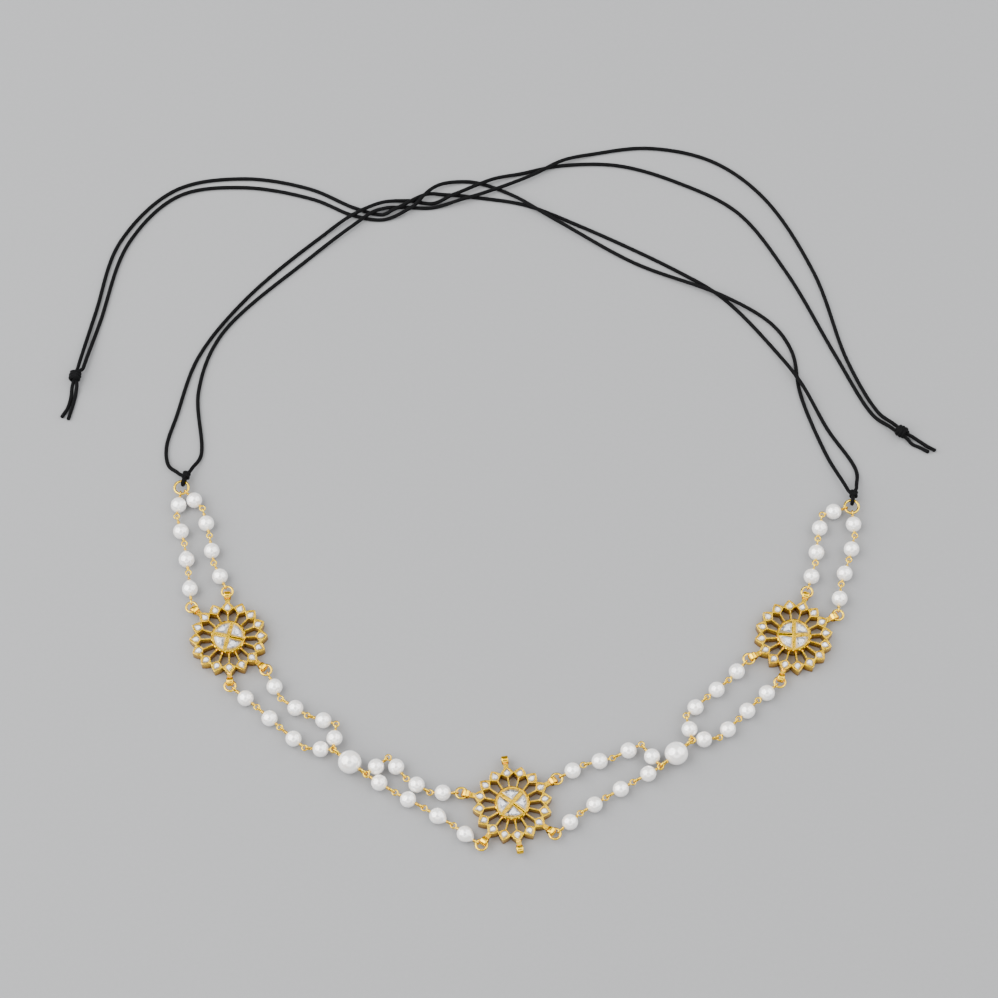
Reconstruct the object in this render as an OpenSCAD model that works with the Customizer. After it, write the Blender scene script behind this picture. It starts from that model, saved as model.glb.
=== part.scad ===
/* [Pearls] */
// Diameter of a strand pearl
small_pearl_d = 4.5; // [4.2:0.1:4.6]
// Diameter of a connector pearl
large_pearl_d = 6.5; // [6:0.1:7]
// How far a drop-shaped pearl rises beyond its round form
drop_peak = 0.6; // [0.1:0.05:0.6]

/* [Wire links] */
// Wire of a strand link
link_wire_d = 0.44; // [0.36:0.02:0.5]
// Link loop, across its wire's centreline
link_loop_d = 1.5; // [1.4:0.05:1.7]
// Straight pin of a strand link
link_pin_d = 0.4; // [0.3:0.02:0.46]
// Wrapped neck between a loop and its pearl
link_neck_d = 0.9; // [0.6:0.05:1.2]
// Wire of a connector pearl's link
eye_wire_d = 0.56; // [0.48:0.02:0.64]
// Eye of a connector pearl's link, across its wire's centreline
eye_loop_d = 2.2; // [2:0.05:2.6]
// Straight pin of a connector pearl's link
eye_pin_d = 0.5; // [0.4:0.02:0.6]
// Wrapped neck between an eye and the connector pearl
eye_neck_d = 1.2; // [0.8:0.05:1.6]
// Length of that neck
eye_neck_l = 0.4; // [0.3:0.05:0.8]

/* [Rings] */
// Wire of a jump ring
jump_wire_d = 0.68; // [0.5:0.02:0.74]
// Jump ring, across its wire's centreline
jump_ring_d = 3; // [2.9:0.05:3.4]
// Wire of an end ring
end_wire_d = 0.74; // [0.6:0.02:0.76]
// End ring, across its wire's centreline
end_ring_d = 3.96; // [3.8:0.02:4.4]

/* [Medallions] */
// From a medallion's centre to a petal's inner corner
petal_inner_r = 7.5; // [7.2:0.05:7.6]
// From a medallion's centre to a petal's widest part
petal_wide_r = 8.85; // [8.7:0.05:9]
// From a medallion's centre to a petal's tip
petal_tip_r = 10.9; // [10.8:0.05:11.3]
// How far a petal's outer sides bow outward
petal_bow = 0.16; // [0:0.02:0.3]
// Overlap of a petal with the middle line to its neighbour
petal_lap = 0.12; // [0.06:0.02:0.2]
// Height of a petal's box
petal_h = 3.2; // [2.8:0.1:3.6]
// Diameter of the raised disc in the middle
disc_d = 9.6; // [9.2:0.1:10]
// Height of the disc
disc_h = 3.9; // [3.4:0.1:4.4]
// Rim of the disc round its stones
disc_rim = 0.7; // [0.5:0.05:0.8]
// Bevel of the disc's top edge
disc_bevel = 0.25; // [0.1:0.05:0.35]
// Width of the bars that cross on the disc
bar_w = 0.95; // [0.7:0.05:1.1]
// Width of a spoke
spoke_w = 0.36; // [0.3:0.02:0.5]
// Height of a spoke
spoke_h = 2.7; // [2:0.1:3]

/* [Bails] */
// Width of a bail's strip
bail_w = 1.9; // [1.5:0.1:2]
// Bore of a bail
bail_bore_d = 1.6; // [1.5:0.05:1.8]
// Wall of a bail round its bore
bail_wall = 0.45; // [0.4:0.05:0.6]
// Rounding of a bail's rims
bail_round = 0.3; // [0.1:0.05:0.35]
// Width of the neck between a petal and its bail
bail_neck_w = 1.3; // [1:0.1:1.6]
// From a petal's tip to the middle of the bore
bail_reach = 2.1; // [2:0.05:2.4]

/* [Stones] */
// Radius of a petal stone's round end
pear_r = 0.9; // [0.8:0.02:0.94]
// From the middle of that round end to the stone's point
pear_point_l = 1.35; // [1.2:0.05:1.45]
// Wall between a petal's inner edges and its stone's pocket
pear_wall = 0.19; // [0.12:0.01:0.26]
// Height of a petal stone
pear_h = 1.3; // [1:0.05:1.6]
// Height of a quarter stone
quarter_h = 1.6; // [1.2:0.05:2]
// How far a stone's table stands above its rim
table_rise = 0.2; // [0.05:0.05:0.4]

/* [Cord] */
// Diameter of the cord
cord_d = 1.1; // [0.9:0.05:1.15]
// Wrap of an end knot, across its cord's centreline
end_wrap_d = 2.5; // [2.3:0.05:2.7]
// Wrap of a hitch, across its cord's centreline
hitch_wrap_d = 1.25; // [1.2:0.05:1.5]
// Distance from one wrap to the next
wrap_pitch = 0.95; // [0.85:0.01:1]

/* [Fit] */
// Clearance between pieces that hold each other
gap = 0.1; // [0.06:0.01:0.12]

/* [Hidden] */
// Smoothness of round forms
$fn = 48;
// Petals round a medallion
petal_count = 16;
petal_step = 360 / petal_count;
petal_half_w = petal_wide_r * tan(petal_step / 2) + petal_lap;
// Middle of a petal stone's round end, where its pocket leaves the inner wall
pear_seat_r = petal_inner_r
    + (pear_r + gap + pear_wall) * norm([petal_wide_r - petal_inner_r, petal_half_w]) / petal_half_w;
// Sides of a cord's tube
cord_sides = 8;
// How deep a flat end lies inside the wire that it joins
bury = 0.12;

// Heights at which the strands and a connector pearl's pin lie
chain_z = small_pearl_d / 2;
connector_z = large_pearl_d / 2;
bail_r = petal_tip_r + bail_reach;
// From a bail's bore to the middle of the jump ring that pulls on it
jump_reach = bail_bore_d / 2
    + sqrt(pow((jump_ring_d - jump_wire_d) / 2 - gap, 2) - pow(bail_w / 2, 2));
// How far a link's loop lies beyond the middle of the loop or ring that it hooks
link_hook = link_loop_d - link_wire_d - gap;
jump_hook = ring_hook(jump_ring_d, jump_wire_d);
// How far past a jump ring's middle a strand starts that pulls sideways, so that it clears the bail
jump_lean = bail_bore_d / 2 + bail_wall + gap + link_wire_d / 2 - jump_reach;
end_hook = ring_hook(end_ring_d, end_wire_d);
// From a connector pearl's middle to the outermost wire of its eye
eye_reach = large_pearl_d / 2 + eye_neck_l + eye_loop_d;

// Where the medallions lie, and the direction of each one's first petal
left_at = [-79, 49];
centre_at = [0, 0];
right_at = [78.5, 49.5];
left_turn = 93.5;
centre_turn = 99;
right_turn = 95;
// Directions of the bars on each disc
left_bars = 77;
centre_bars = 51;
right_bars = 88;
// Petals that carry a bail, counted anticlockwise from the first
left_bails = [0, 2, 8, 10];
centre_bails = [0, 3, 6, 8, 10, 13];
right_bails = [5, 7, 13, 15];
// Bails of the centre medallion that hold a jump ring
centre_linked = [3, 6, 10, 13];

// Where the end rings and connector pearls lie, and the directions of the pearls' pins
left_ring_at = [-94, 95.5];
right_ring_at = [96.5, 89.5];
left_pearl_at = [-44.5, 12];
right_pearl_at = [45, 14.5];
left_pearl_turn = 142;
right_pearl_turn = 41;

// Free joints of each strand, as [x, y], from its first ring to its last
left_end_outer_joints = [[-95, 86.5], [-92.5, 78], [-91, 69]];
left_end_inner_joints = [[-87.8, 89], [-85.5, 80.5], [-84, 72]];
left_side_outer_joints = [[-70.5, 28.5], [-64, 22.5], [-57, 16.5]];
left_side_inner_joints = [[-64, 31], [-56.5, 26], [-48.5, 23.5]];
left_front_outer_joints = [[-16, -6], [-24, -1], [-32, 3.5]];
left_front_inner_joints = [[-22.5, 3.5], [-29, 7.5], [-34, 13.7]];
right_front_outer_joints = [[18.5, -2.5], [25.5, 2], [33, 6.5]];
right_front_inner_joints = [[19.5, 11.5], [27.5, 13.5], [35.5, 17.5]];
right_side_outer_joints = [[68, 30.5], [62.5, 25], [57, 19.5]];
right_side_inner_joints = [[60, 36.5], [54, 31.5], [48, 26]];
right_end_outer_joints = [[97, 80.5], [95, 73], [92.5, 65.5]];
right_end_inner_joints = [[88, 87], [86.5, 79.5], [85.5, 72]];

// Each strand's whole path, as [x, y, z]
left_end_outer = end_path(left_ring_at, left_end_outer_joints, jump_at(left_at, left_turn, 2));
left_end_inner = end_path(left_ring_at, left_end_inner_joints, jump_at(left_at, left_turn, 0));
left_side_outer = side_path(
    jump_at(left_at, left_turn, 8), left_side_outer_joints, left_pearl_at, left_pearl_turn, -1);
left_side_inner = side_path(
    jump_at(left_at, left_turn, 10), left_side_inner_joints, left_pearl_at, left_pearl_turn, 1);
left_front_outer = side_path(
    jump_at(centre_at, centre_turn, 6, jump_lean), left_front_outer_joints,
    left_pearl_at, left_pearl_turn + 180, -1);
left_front_inner = side_path(
    jump_at(centre_at, centre_turn, 3), left_front_inner_joints, left_pearl_at, left_pearl_turn + 180, 1);
right_front_outer = side_path(
    jump_at(centre_at, centre_turn, 10, jump_lean), right_front_outer_joints,
    right_pearl_at, right_pearl_turn + 180, -1);
right_front_inner = side_path(
    jump_at(centre_at, centre_turn, 13), right_front_inner_joints, right_pearl_at, right_pearl_turn + 180, 1);
right_side_outer = side_path(
    jump_at(right_at, right_turn, 7), right_side_outer_joints, right_pearl_at, right_pearl_turn, -1);
right_side_inner = side_path(
    jump_at(right_at, right_turn, 5), right_side_inner_joints, right_pearl_at, right_pearl_turn, 1);
right_end_outer = end_path(right_ring_at, right_end_outer_joints, jump_at(right_at, right_turn, 13));
right_end_inner = end_path(right_ring_at, right_end_inner_joints, jump_at(right_at, right_turn, 15));
left_front_hook = lean_hook(left_front_outer, jump_at(centre_at, centre_turn, 6));
right_front_hook = lean_hook(right_front_outer, jump_at(centre_at, centre_turn, 10));
// Pearls of a strand that are drop-shaped, with their peak towards its first ring
left_end_drops = [2, 3];
left_front_drops = [0, 1];

// Heights of a cord that lies on the surface, and of one that crosses over another
low = 0.55;
high = 1.8;
// Routes of the four cords, as [x, y, z], each from its hitch to its end knot
left_cord_a_route = [
    [-95.2, 100.2, 1.9], [-98.2, 103.2, 0.8], [-99, 109, low], [-96.5, 119, low], [-91, 138, low],
    [-78, 157, low], [-57.5, 177, low], [-47, 185, high], [-39, 189, high], [-31, 190.5, low],
    [-23.5, 189.5, low],
    [-17, 192, high], [-6, 197, high], [4, 200, low], [15, 202.5, low], [32, 202.5, low],
    [50, 196.5, low], [67, 186.5, low], [81, 166, low], [94, 139, low], [104, 119.5, low],
    [109.5, 114.5, 1.5]];
left_cord_b_route = [
    [-91.5, 101.5, 1.6], [-89, 106.5, low], [-90.5, 127, low], [-84.5, 145.5, low], [-60.5, 170, low],
    [-47.5, 181, 1.5], [-41, 186, high], [-37.5, 187.5, 1.3], [-33.5, 188.3, low], [-24, 188, low],
    [-14, 190.5, high], [-3, 194.5, high], [7, 199, high], [15, 203.5, high], [27, 207, low],
    [42, 208.5, low], [60, 204, low], [75, 191.5, low], [89, 166, low], [97.5, 137, low],
    [105.5, 120.5, low], [110.5, 115.5, 1.5]];
right_cord_a_route = [
    [95.6, 95.2, 1.8], [90, 107, low], [83.5, 126, low], [81.5, 140, low], [75.5, 149.5, low],
    [61.5, 158, high], [36, 169.5, low], [14, 183, 1.4], [4, 189.5, high], [-3, 194, low],
    [-13, 197, low], [-22, 195, 1.7], [-25.5, 191.5, 2.9], [-29.5, 187.5, 2], [-38, 184, low],
    [-47, 185.5, low], [-59, 191, low], [-80, 195, low], [-99, 192, low], [-113, 176, low],
    [-120, 150, low], [-124, 134.5, 1.5]];
right_cord_b_route = [
    [98.2, 96, 1.8], [98.5, 101.5, low], [91, 114.5, low], [83.5, 129.5, high], [75, 142.5, low],
    [61.5, 158, low], [49, 166.5, low], [20, 182, low], [4, 189, low], [-10, 191.5, low],
    [-19, 192.5, low], [-25.5, 192, 1.6], [-34.5, 187, high], [-38.5, 185.7, low], [-46.5, 188, low],
    [-60, 194.5, low], [-80, 198, low], [-100, 194, low], [-115.5, 176.5, low], [-121.5, 153, low],
    [-125.5, 135, 1.5]];
// Directions in which the hitches leave their rings, and the end knots with their directions
left_hitch_turn = 73;
right_hitch_turn = 79;
left_knot_at = [-126.3, 131.4];
right_knot_at = [112, 113.5];
left_knot_turn = 254;
right_knot_turn = -37;
// Loose tails of the end knots, as [x, y, z]
left_tails = [
    [[-126.5, 130.5, 1.6], [-127, 128.5, 1.2], [-127.3, 125, low], [-128, 121.7, low], [-129.6, 118.7, low]],
    [[-126, 130.5, 1.6], [-125.7, 128.5, 1.2], [-126.1, 125, low], [-126.8, 121.5, low], [-127.7, 118, low]]];
right_tails = [
    [[112.5, 113.5, 1.6], [114.5, 112.5, 1.1], [117, 111, low], [119, 109.5, low], [121.5, 108, low]],
    [[112, 113, 1.6], [113.5, 111.5, 1.1], [115, 110, low], [117, 109, low], [119.5, 107.5, low]]];

function polar(r, turn) = [r * cos(turn), r * sin(turn)];
function raised(p, z) = [p[0], p[1], z];
function unit(v) = v / norm(v);
function level_unit(a, b) = unit([b[0] - a[0], b[1] - a[1], 0]);
function heading(v) = atan2(v[1], v[0]);

function ring_hook(ring_d, wire_d) = (ring_d - wire_d - link_wire_d + link_loop_d) / 2 - gap;
function jump_at(place, turn, petal, lean = 0) =
    place + polar(bail_r + jump_reach + lean, turn + petal * petal_step);
// The hook of a strand that starts past its jump ring's middle
function lean_hook(path, jump) =
    let (
        off = path[0] - raised(jump, chain_z),
        along = off * level_unit(path[0], path[1]),
        inside = jump_hook - link_loop_d / 2)
    link_loop_d / 2 - along + sqrt(along * along + inside * inside - off * off);

// Path of a strand from an end ring to a jump ring
function end_path(ring_at, joints, jump) = [for (p = concat([ring_at], joints, [jump])) raised(p, chain_z)];

// Path of a strand from a jump ring to the eye of a connector pearl, where two strands lie stacked
function side_path(jump, joints, pearl_at, turn, level) = concat(
    [for (p = concat([jump], joints)) raised(p, chain_z)],
    [raised(pearl_at + polar(eye_reach, turn), connector_z + level * (link_wire_d / 2 + gap))]);

// Middles of the two loops of a strand's link
function link_from(path, i, first_hook) =
    path[i] + (i == 0 ? first_hook : link_hook) * level_unit(path[i], path[i + 1]);
function link_to(path, i, last_hook) =
    path[i + 1] - (i == len(path) - 2 ? last_hook : 0) * level_unit(path[i], path[i + 1]);
// The pin between two loops, as its two ends
function pin_ends(from, to, loop_d) =
    let (along = level_unit(from, to)) [from + loop_d / 2 * along, to - loop_d / 2 * along];

// Faces of a solid that is skinned over a stack of closed outlines
function skin_faces(sides, outlines) = [
    [for (i = [0 : sides - 1]) i],
    for (k = [0 : outlines - 2]) for (i = [0 : sides - 1])
        let (j = (i + 1) % sides)
        [k * sides + i, (k + 1) * sides + i, (k + 1) * sides + j, k * sides + j],
    [for (i = [sides - 1 : -1 : 0]) (outlines - 1) * sides + i]];

module rod(a, b, d) {
    v = b - a;
    translate(a) rotate([0, acos(v[2] / norm(v)), heading(v)]) cylinder(h = norm(v), d = d);
}

// A closed loop of round wire that lies flat
module flat_loop(at, loop_d, wire_d) {
    translate(at) rotate_extrude() translate([loop_d / 2, 0]) circle(d = wire_d, $fn = 24);
}

// The same loop, upright along a heading
module upright_loop(at, turn, loop_d, wire_d) {
    translate(at) rotate([90, 0, turn]) flat_loop([0, 0, 0], loop_d, wire_d);
}

// A cord's tube, swept along its route
module tube(route, d) {
    last = len(route) - 1;
    points = [
        for (i = [0 : last])
            let (
                before = unit(route[max(i, 1)] - route[max(i, 1) - 1]),
                after = unit(route[min(i, last - 1) + 1] - route[min(i, last - 1)]),
                along = unit(before + after),
                side = unit(cross([0, 0, 1], along)),
                up = cross(along, side))
            for (s = [0 : cord_sides - 1])
                let (turn = (s + 0.5) * 360 / cord_sides)
                route[i] + d / 2 * (cos(turn) * side + sin(turn) * up)];
    polyhedron(points = points, faces = skin_faces(cord_sides, last + 1));
}

module petal_plan() {
    wide = [petal_wide_r, petal_half_w];
    tip = [petal_tip_r, 0];
    out = unit([wide[1], tip[0] - wide[0]]);
    side = [for (t = [0, 0.25, 0.5, 0.75]) wide + t * (tip - wide) + 4 * t * (1 - t) * petal_bow * out];
    polygon(concat(
        [[petal_inner_r, 0]],
        [for (p = side) [p[0], -p[1]]],
        [tip],
        [for (i = [len(side) - 1 : -1 : 0]) side[i]]));
}

// Outline of a pear-shaped stone round the origin, or of its pocket if it is grown
function pear_outline(grow) =
    let (r = pear_r + grow, point_l = pear_point_l * r / pear_r, start = acos(r / point_l))
    concat([for (i = [0 : 8]) polar(r, start + i * (360 - 2 * start) / 8)], [[point_l, 0]]);

// Outline of a quarter stone in the corner of two bars
function quarter_outline() =
    let (
        corner = bar_w / 2 + gap,
        r = disc_d / 2 - disc_rim - gap,
        start = asin(corner / r))
    concat([[corner, corner]], [for (i = [0 : 6]) polar(r, start + i * (90 - 2 * start) / 6)]);

// A cut stone: its outline shrinks about a middle point, by levels of [scale, share of the height]
module cut_stone(outline, middle, h, levels) {
    points = [
        for (level = levels) for (p = outline)
            raised(middle + level[0] * (p - middle), level[1] * h)];
    polyhedron(points = points, faces = skin_faces(len(outline), len(levels)));
}

// Half of a bail's barrel, cut through its axis
module bail_section(r) {
    straight_w = bail_w - 2 * bail_round;
    translate([0, -bail_w / 2]) square([r - bail_round, bail_w]);
    translate([0, -straight_w / 2]) square([r, straight_w]);
    for (side = [-1, 1]) translate([r - bail_round, side * straight_w / 2]) circle(r = bail_round);
}

module bail() {
    outer_d = bail_bore_d + 2 * bail_wall;
    neck_from = petal_tip_r - 0.35;
    neck_to = bail_r - bail_bore_d / 2 - 0.1;
    translate([bail_r, 0, chain_z]) rotate([90, 0, 0]) rotate_extrude() bail_section(outer_d / 2);
    translate([neck_from, -bail_neck_w / 2, chain_z - bail_wall])
        cube([neck_to - neck_from, bail_neck_w, 2 * bail_wall]);
}

module bail_bore() {
    translate([bail_r, 0, chain_z]) rotate([90, 0, 0])
        cylinder(h = bail_w + 1, d = bail_bore_d, center = true);
}

module pear_pocket() {
    translate([pear_seat_r, 0, petal_h + table_rise - pear_h - gap])
        linear_extrude(pear_h + gap) polygon(pear_outline(gap));
}

module quarter_pocket() {
    floor_z = disc_h + table_rise - quarter_h - gap;
    intersection() {
        translate([0, 0, floor_z]) cylinder(h = quarter_h + gap, d = disc_d - 2 * disc_rim);
        translate([bar_w / 2, bar_w / 2, floor_z]) cube([disc_d, disc_d, quarter_h + gap]);
    }
}

// Openwork medallion: a disc, spokes, sixteen petals and its bails, pierced between the spokes
module medallion(place, turn, bars, bails) {
    color("goldenrod") translate(place) difference() {
        union() {
            cylinder(h = disc_h - disc_bevel, d = disc_d);
            translate([0, 0, disc_h - disc_bevel])
                cylinder(h = disc_bevel, d1 = disc_d, d2 = disc_d - 2 * disc_bevel);
            for (i = [0 : petal_count - 1]) rotate(turn + i * petal_step) {
                linear_extrude(petal_h) petal_plan();
                translate([disc_d / 2 - 0.3, -spoke_w / 2, 0])
                    cube([petal_inner_r + 0.5 - disc_d / 2 + 0.3, spoke_w, spoke_h]);
            }
            for (i = bails) rotate(turn + i * petal_step) bail();
        }
        for (i = [0 : petal_count - 1]) rotate(turn + i * petal_step) pear_pocket();
        for (i = [0 : 3]) rotate(bars + i * 90) quarter_pocket();
        for (i = bails) rotate(turn + i * petal_step) bail_bore();
    }
}

module petal_stones(place, turn) {
    color("lavender") translate(place) for (i = [0 : petal_count - 1])
        rotate(turn + i * petal_step) translate([pear_seat_r, 0, petal_h + table_rise - pear_h])
            cut_stone(pear_outline(0), [0, 0], pear_h, [[1, 0], [1, 0.4], [0.55, 1]]);
}

module quarter_stone(place, bars, i) {
    corner = bar_w / 2 + gap;
    middle = corner + 0.4 * (disc_d / 2 - disc_rim - gap - corner);
    color("lavender") translate(place) rotate(bars + (i - 1) * 90)
        translate([0, 0, disc_h + table_rise - quarter_h])
            cut_stone(quarter_outline(), [middle, middle], quarter_h,
                [[1, 0], [1, 0.3], [0.8, 0.72], [0.5, 1]]);
}

module jump_rings(place, turn, bails) {
    color("gold") for (i = bails)
        flat_loop(raised(jump_at(place, turn, i), chain_z), jump_ring_d, jump_wire_d);
}

module end_ring(ring_at) {
    color("gold") flat_loop(raised(ring_at, chain_z), end_ring_d, end_wire_d);
}

// One wire link: a loop at each end, a pin through the pearl and a wrapped neck at each upright loop
module wire_link(from, to, to_upright, loop_d, wire_d, pin_d, neck_d, near_l, far_l) {
    turn = heading(to - from);
    pin = pin_ends(from, to, loop_d);
    along = unit(pin[1] - pin[0]);
    middle = (pin[0] + pin[1]) / 2;
    upright_loop(from, turn, loop_d, wire_d);
    rod(pin[0], pin[1], pin_d);
    rod(pin[0] + bury * along, middle - near_l * along, neck_d);
    if (to_upright) {
        upright_loop(to, turn, loop_d, wire_d);
        rod(middle + far_l * along, pin[1] - bury * along, neck_d);
    } else flat_loop(to, loop_d, wire_d);
}

// The links of a strand, where a last hook of 0 hangs on a connector pearl's eye
module strand_links(path, first_hook, last_hook, drops = []) {
    clear = small_pearl_d / 2 + gap;
    color("gold") for (i = [0 : len(path) - 2])
        wire_link(
            link_from(path, i, first_hook), link_to(path, i, last_hook),
            last_hook > 0 && i == len(path) - 2, link_loop_d, link_wire_d, link_pin_d, link_neck_d,
            clear + (len(search(i, drops)) > 0 ? drop_peak : 0), clear);
}

// A drilled pearl, whose peak points back along its pin
module pearl(pin, d, bore_d, peak) {
    v = pin[1] - pin[0];
    translate((pin[0] + pin[1]) / 2) rotate([0, acos(v[2] / norm(v)), heading(v)])
        difference() {
            union() {
                sphere(d = d);
                if (peak > 0) translate([0, 0, -d / 2 - peak])
                    cylinder(h = peak + d / 6, d1 = 0.2 * d, d2 = 0.69 * d);
            }
            cylinder(h = 2 * d, d = bore_d, center = true);
        }
}

module strand_pearls(path, first_hook, last_hook, drops = []) {
    color("ivory") for (i = [0 : len(path) - 2])
        pearl(
            pin_ends(link_from(path, i, first_hook), link_to(path, i, last_hook), link_loop_d),
            small_pearl_d, link_pin_d + 2 * gap, len(search(i, drops)) > 0 ? drop_peak : 0);
}

// Middles of a connector link's two eyes
function eye_ends(pearl_at, turn) =
    let (reach = polar(eye_reach - eye_loop_d / 2, turn))
    [raised(pearl_at - reach, connector_z), raised(pearl_at + reach, connector_z)];

module large_link(pearl_at, turn) {
    eyes = eye_ends(pearl_at, turn);
    clear = large_pearl_d / 2 + gap;
    color("gold") wire_link(
        eyes[0], eyes[1], true, eye_loop_d, eye_wire_d, eye_pin_d, eye_neck_d, clear, clear);
}

module large_pearl(pearl_at, turn) {
    eyes = eye_ends(pearl_at, turn);
    color("ivory") pearl(
        pin_ends(eyes[0], eyes[1], eye_loop_d), large_pearl_d, eye_pin_d + 2 * gap, 0);
}

// The body of a knot: wraps of cord side by side round a core, along a heading
module knot_body(at, turn, wrap_d, wraps) {
    core_l = (wraps - 1) * wrap_pitch;
    translate(at) rotate([0, 90, turn]) rotate_extrude() {
        translate([0, -core_l / 2]) square([wrap_d / 2, core_l]);
        for (i = [0 : wraps - 1]) translate([wrap_d / 2, i * wrap_pitch - core_l / 2])
            intersection() {
                circle(d = cord_d, $fn = 24);
                translate([-wrap_d / 2, -cord_d]) square([wrap_d + cord_d, 2 * cord_d]);
            }
    }
}

// A short straight end, flat where the cord's tube meets it
module stub(from, towards, l) {
    rod(from, from + l * unit(towards - from), cord_d);
}

// Cord looped through an end ring and knotted, with a flat end for each of its two cords
module hitch(ring_at, turn, route_a, route_b) {
    loop_d = end_wire_d + 2 * gap + cord_d;
    stub_l = 2;
    ring_edge = end_ring_d / 2;
    body_at = ring_edge + end_wire_d / 2 + 2 * gap + wrap_pitch + cord_d / 2;
    color("dimgray") {
        upright_loop(raised(ring_at + polar(ring_edge, turn), chain_z), turn, loop_d, cord_d);
        knot_body(raised(ring_at + polar(body_at, turn), chain_z), turn, hitch_wrap_d, 3);
        stub(route_a[0], 2 * route_a[0] - route_a[1], stub_l);
        stub(route_b[0], 2 * route_b[0] - route_b[1], stub_l);
    }
}

// Two cords knotted together, with a flat end for each and two loose tails
module end_knot(at, turn, route_a, route_b, tails) {
    stub_l = 2.2;
    a = len(route_a) - 1;
    b = len(route_b) - 1;
    color("dimgray") {
        knot_body(raised(at, (end_wrap_d + cord_d) / 2), turn, end_wrap_d, 4);
        stub(route_a[a], 2 * route_a[a] - route_a[a - 1], stub_l);
        stub(route_b[b], 2 * route_b[b] - route_b[b - 1], stub_l);
        for (tail = tails) tube(tail, cord_d);
    }
}

module cord(route) {
    color("black") tube(route, cord_d);
}

medallion(left_at, left_turn, left_bars, left_bails);  // left_medallion
medallion(centre_at, centre_turn, centre_bars, centre_bails);  // centre_medallion
medallion(right_at, right_turn, right_bars, right_bails);  // right_medallion
petal_stones(left_at, left_turn);  // left_petal_stones
petal_stones(centre_at, centre_turn);  // centre_petal_stones
petal_stones(right_at, right_turn);  // right_petal_stones
quarter_stone(left_at, left_bars, 1);  // left_quarter_stone_1
quarter_stone(left_at, left_bars, 2);  // left_quarter_stone_2
quarter_stone(left_at, left_bars, 3);  // left_quarter_stone_3
quarter_stone(left_at, left_bars, 4);  // left_quarter_stone_4
quarter_stone(centre_at, centre_bars, 1);  // centre_quarter_stone_1
quarter_stone(centre_at, centre_bars, 2);  // centre_quarter_stone_2
quarter_stone(centre_at, centre_bars, 3);  // centre_quarter_stone_3
quarter_stone(centre_at, centre_bars, 4);  // centre_quarter_stone_4
quarter_stone(right_at, right_bars, 1);  // right_quarter_stone_1
quarter_stone(right_at, right_bars, 2);  // right_quarter_stone_2
quarter_stone(right_at, right_bars, 3);  // right_quarter_stone_3
quarter_stone(right_at, right_bars, 4);  // right_quarter_stone_4
jump_rings(left_at, left_turn, left_bails);  // left_jump_rings
jump_rings(centre_at, centre_turn, centre_linked);  // centre_jump_rings
jump_rings(right_at, right_turn, right_bails);  // right_jump_rings
end_ring(left_ring_at);  // left_end_ring
end_ring(right_ring_at);  // right_end_ring
strand_links(left_end_outer, end_hook, jump_hook, left_end_drops);  // left_end_outer_links
strand_pearls(left_end_outer, end_hook, jump_hook, left_end_drops);  // left_end_outer_pearls
strand_links(left_end_inner, end_hook, jump_hook);  // left_end_inner_links
strand_pearls(left_end_inner, end_hook, jump_hook);  // left_end_inner_pearls
strand_links(left_side_outer, jump_hook, 0);  // left_side_outer_links
strand_pearls(left_side_outer, jump_hook, 0);  // left_side_outer_pearls
strand_links(left_side_inner, jump_hook, 0);  // left_side_inner_links
strand_pearls(left_side_inner, jump_hook, 0);  // left_side_inner_pearls
strand_links(left_front_outer, left_front_hook, 0, left_front_drops);  // left_front_outer_links
strand_pearls(left_front_outer, left_front_hook, 0, left_front_drops);  // left_front_outer_pearls
strand_links(left_front_inner, jump_hook, 0);  // left_front_inner_links
strand_pearls(left_front_inner, jump_hook, 0);  // left_front_inner_pearls
strand_links(right_front_outer, right_front_hook, 0);  // right_front_outer_links
strand_pearls(right_front_outer, right_front_hook, 0);  // right_front_outer_pearls
strand_links(right_front_inner, jump_hook, 0);  // right_front_inner_links
strand_pearls(right_front_inner, jump_hook, 0);  // right_front_inner_pearls
strand_links(right_side_outer, jump_hook, 0);  // right_side_outer_links
strand_pearls(right_side_outer, jump_hook, 0);  // right_side_outer_pearls
strand_links(right_side_inner, jump_hook, 0);  // right_side_inner_links
strand_pearls(right_side_inner, jump_hook, 0);  // right_side_inner_pearls
strand_links(right_end_outer, end_hook, jump_hook);  // right_end_outer_links
strand_pearls(right_end_outer, end_hook, jump_hook);  // right_end_outer_pearls
strand_links(right_end_inner, end_hook, jump_hook);  // right_end_inner_links
strand_pearls(right_end_inner, end_hook, jump_hook);  // right_end_inner_pearls
large_pearl(left_pearl_at, left_pearl_turn);  // left_large_pearl
large_link(left_pearl_at, left_pearl_turn);  // left_large_link
large_pearl(right_pearl_at, right_pearl_turn);  // right_large_pearl
large_link(right_pearl_at, right_pearl_turn);  // right_large_link
hitch(left_ring_at, left_hitch_turn, left_cord_a_route, left_cord_b_route);  // left_hitch
hitch(right_ring_at, right_hitch_turn, right_cord_a_route, right_cord_b_route);  // right_hitch
end_knot(left_knot_at, left_knot_turn, right_cord_a_route, right_cord_b_route, left_tails);  // left_end_knot
end_knot(right_knot_at, right_knot_turn, left_cord_a_route, left_cord_b_route, right_tails);  // right_end_knot
cord(left_cord_a_route);  // left_cord_a
cord(left_cord_b_route);  // left_cord_b
cord(right_cord_a_route);  // right_cord_a
cord(right_cord_b_route);  // right_cord_b
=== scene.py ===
import math
import random
from contextlib import contextmanager

import bmesh
import bpy
from bpy.props import FloatProperty, FloatVectorProperty, IntProperty, PointerProperty
from mathutils import Matrix, Vector


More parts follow.
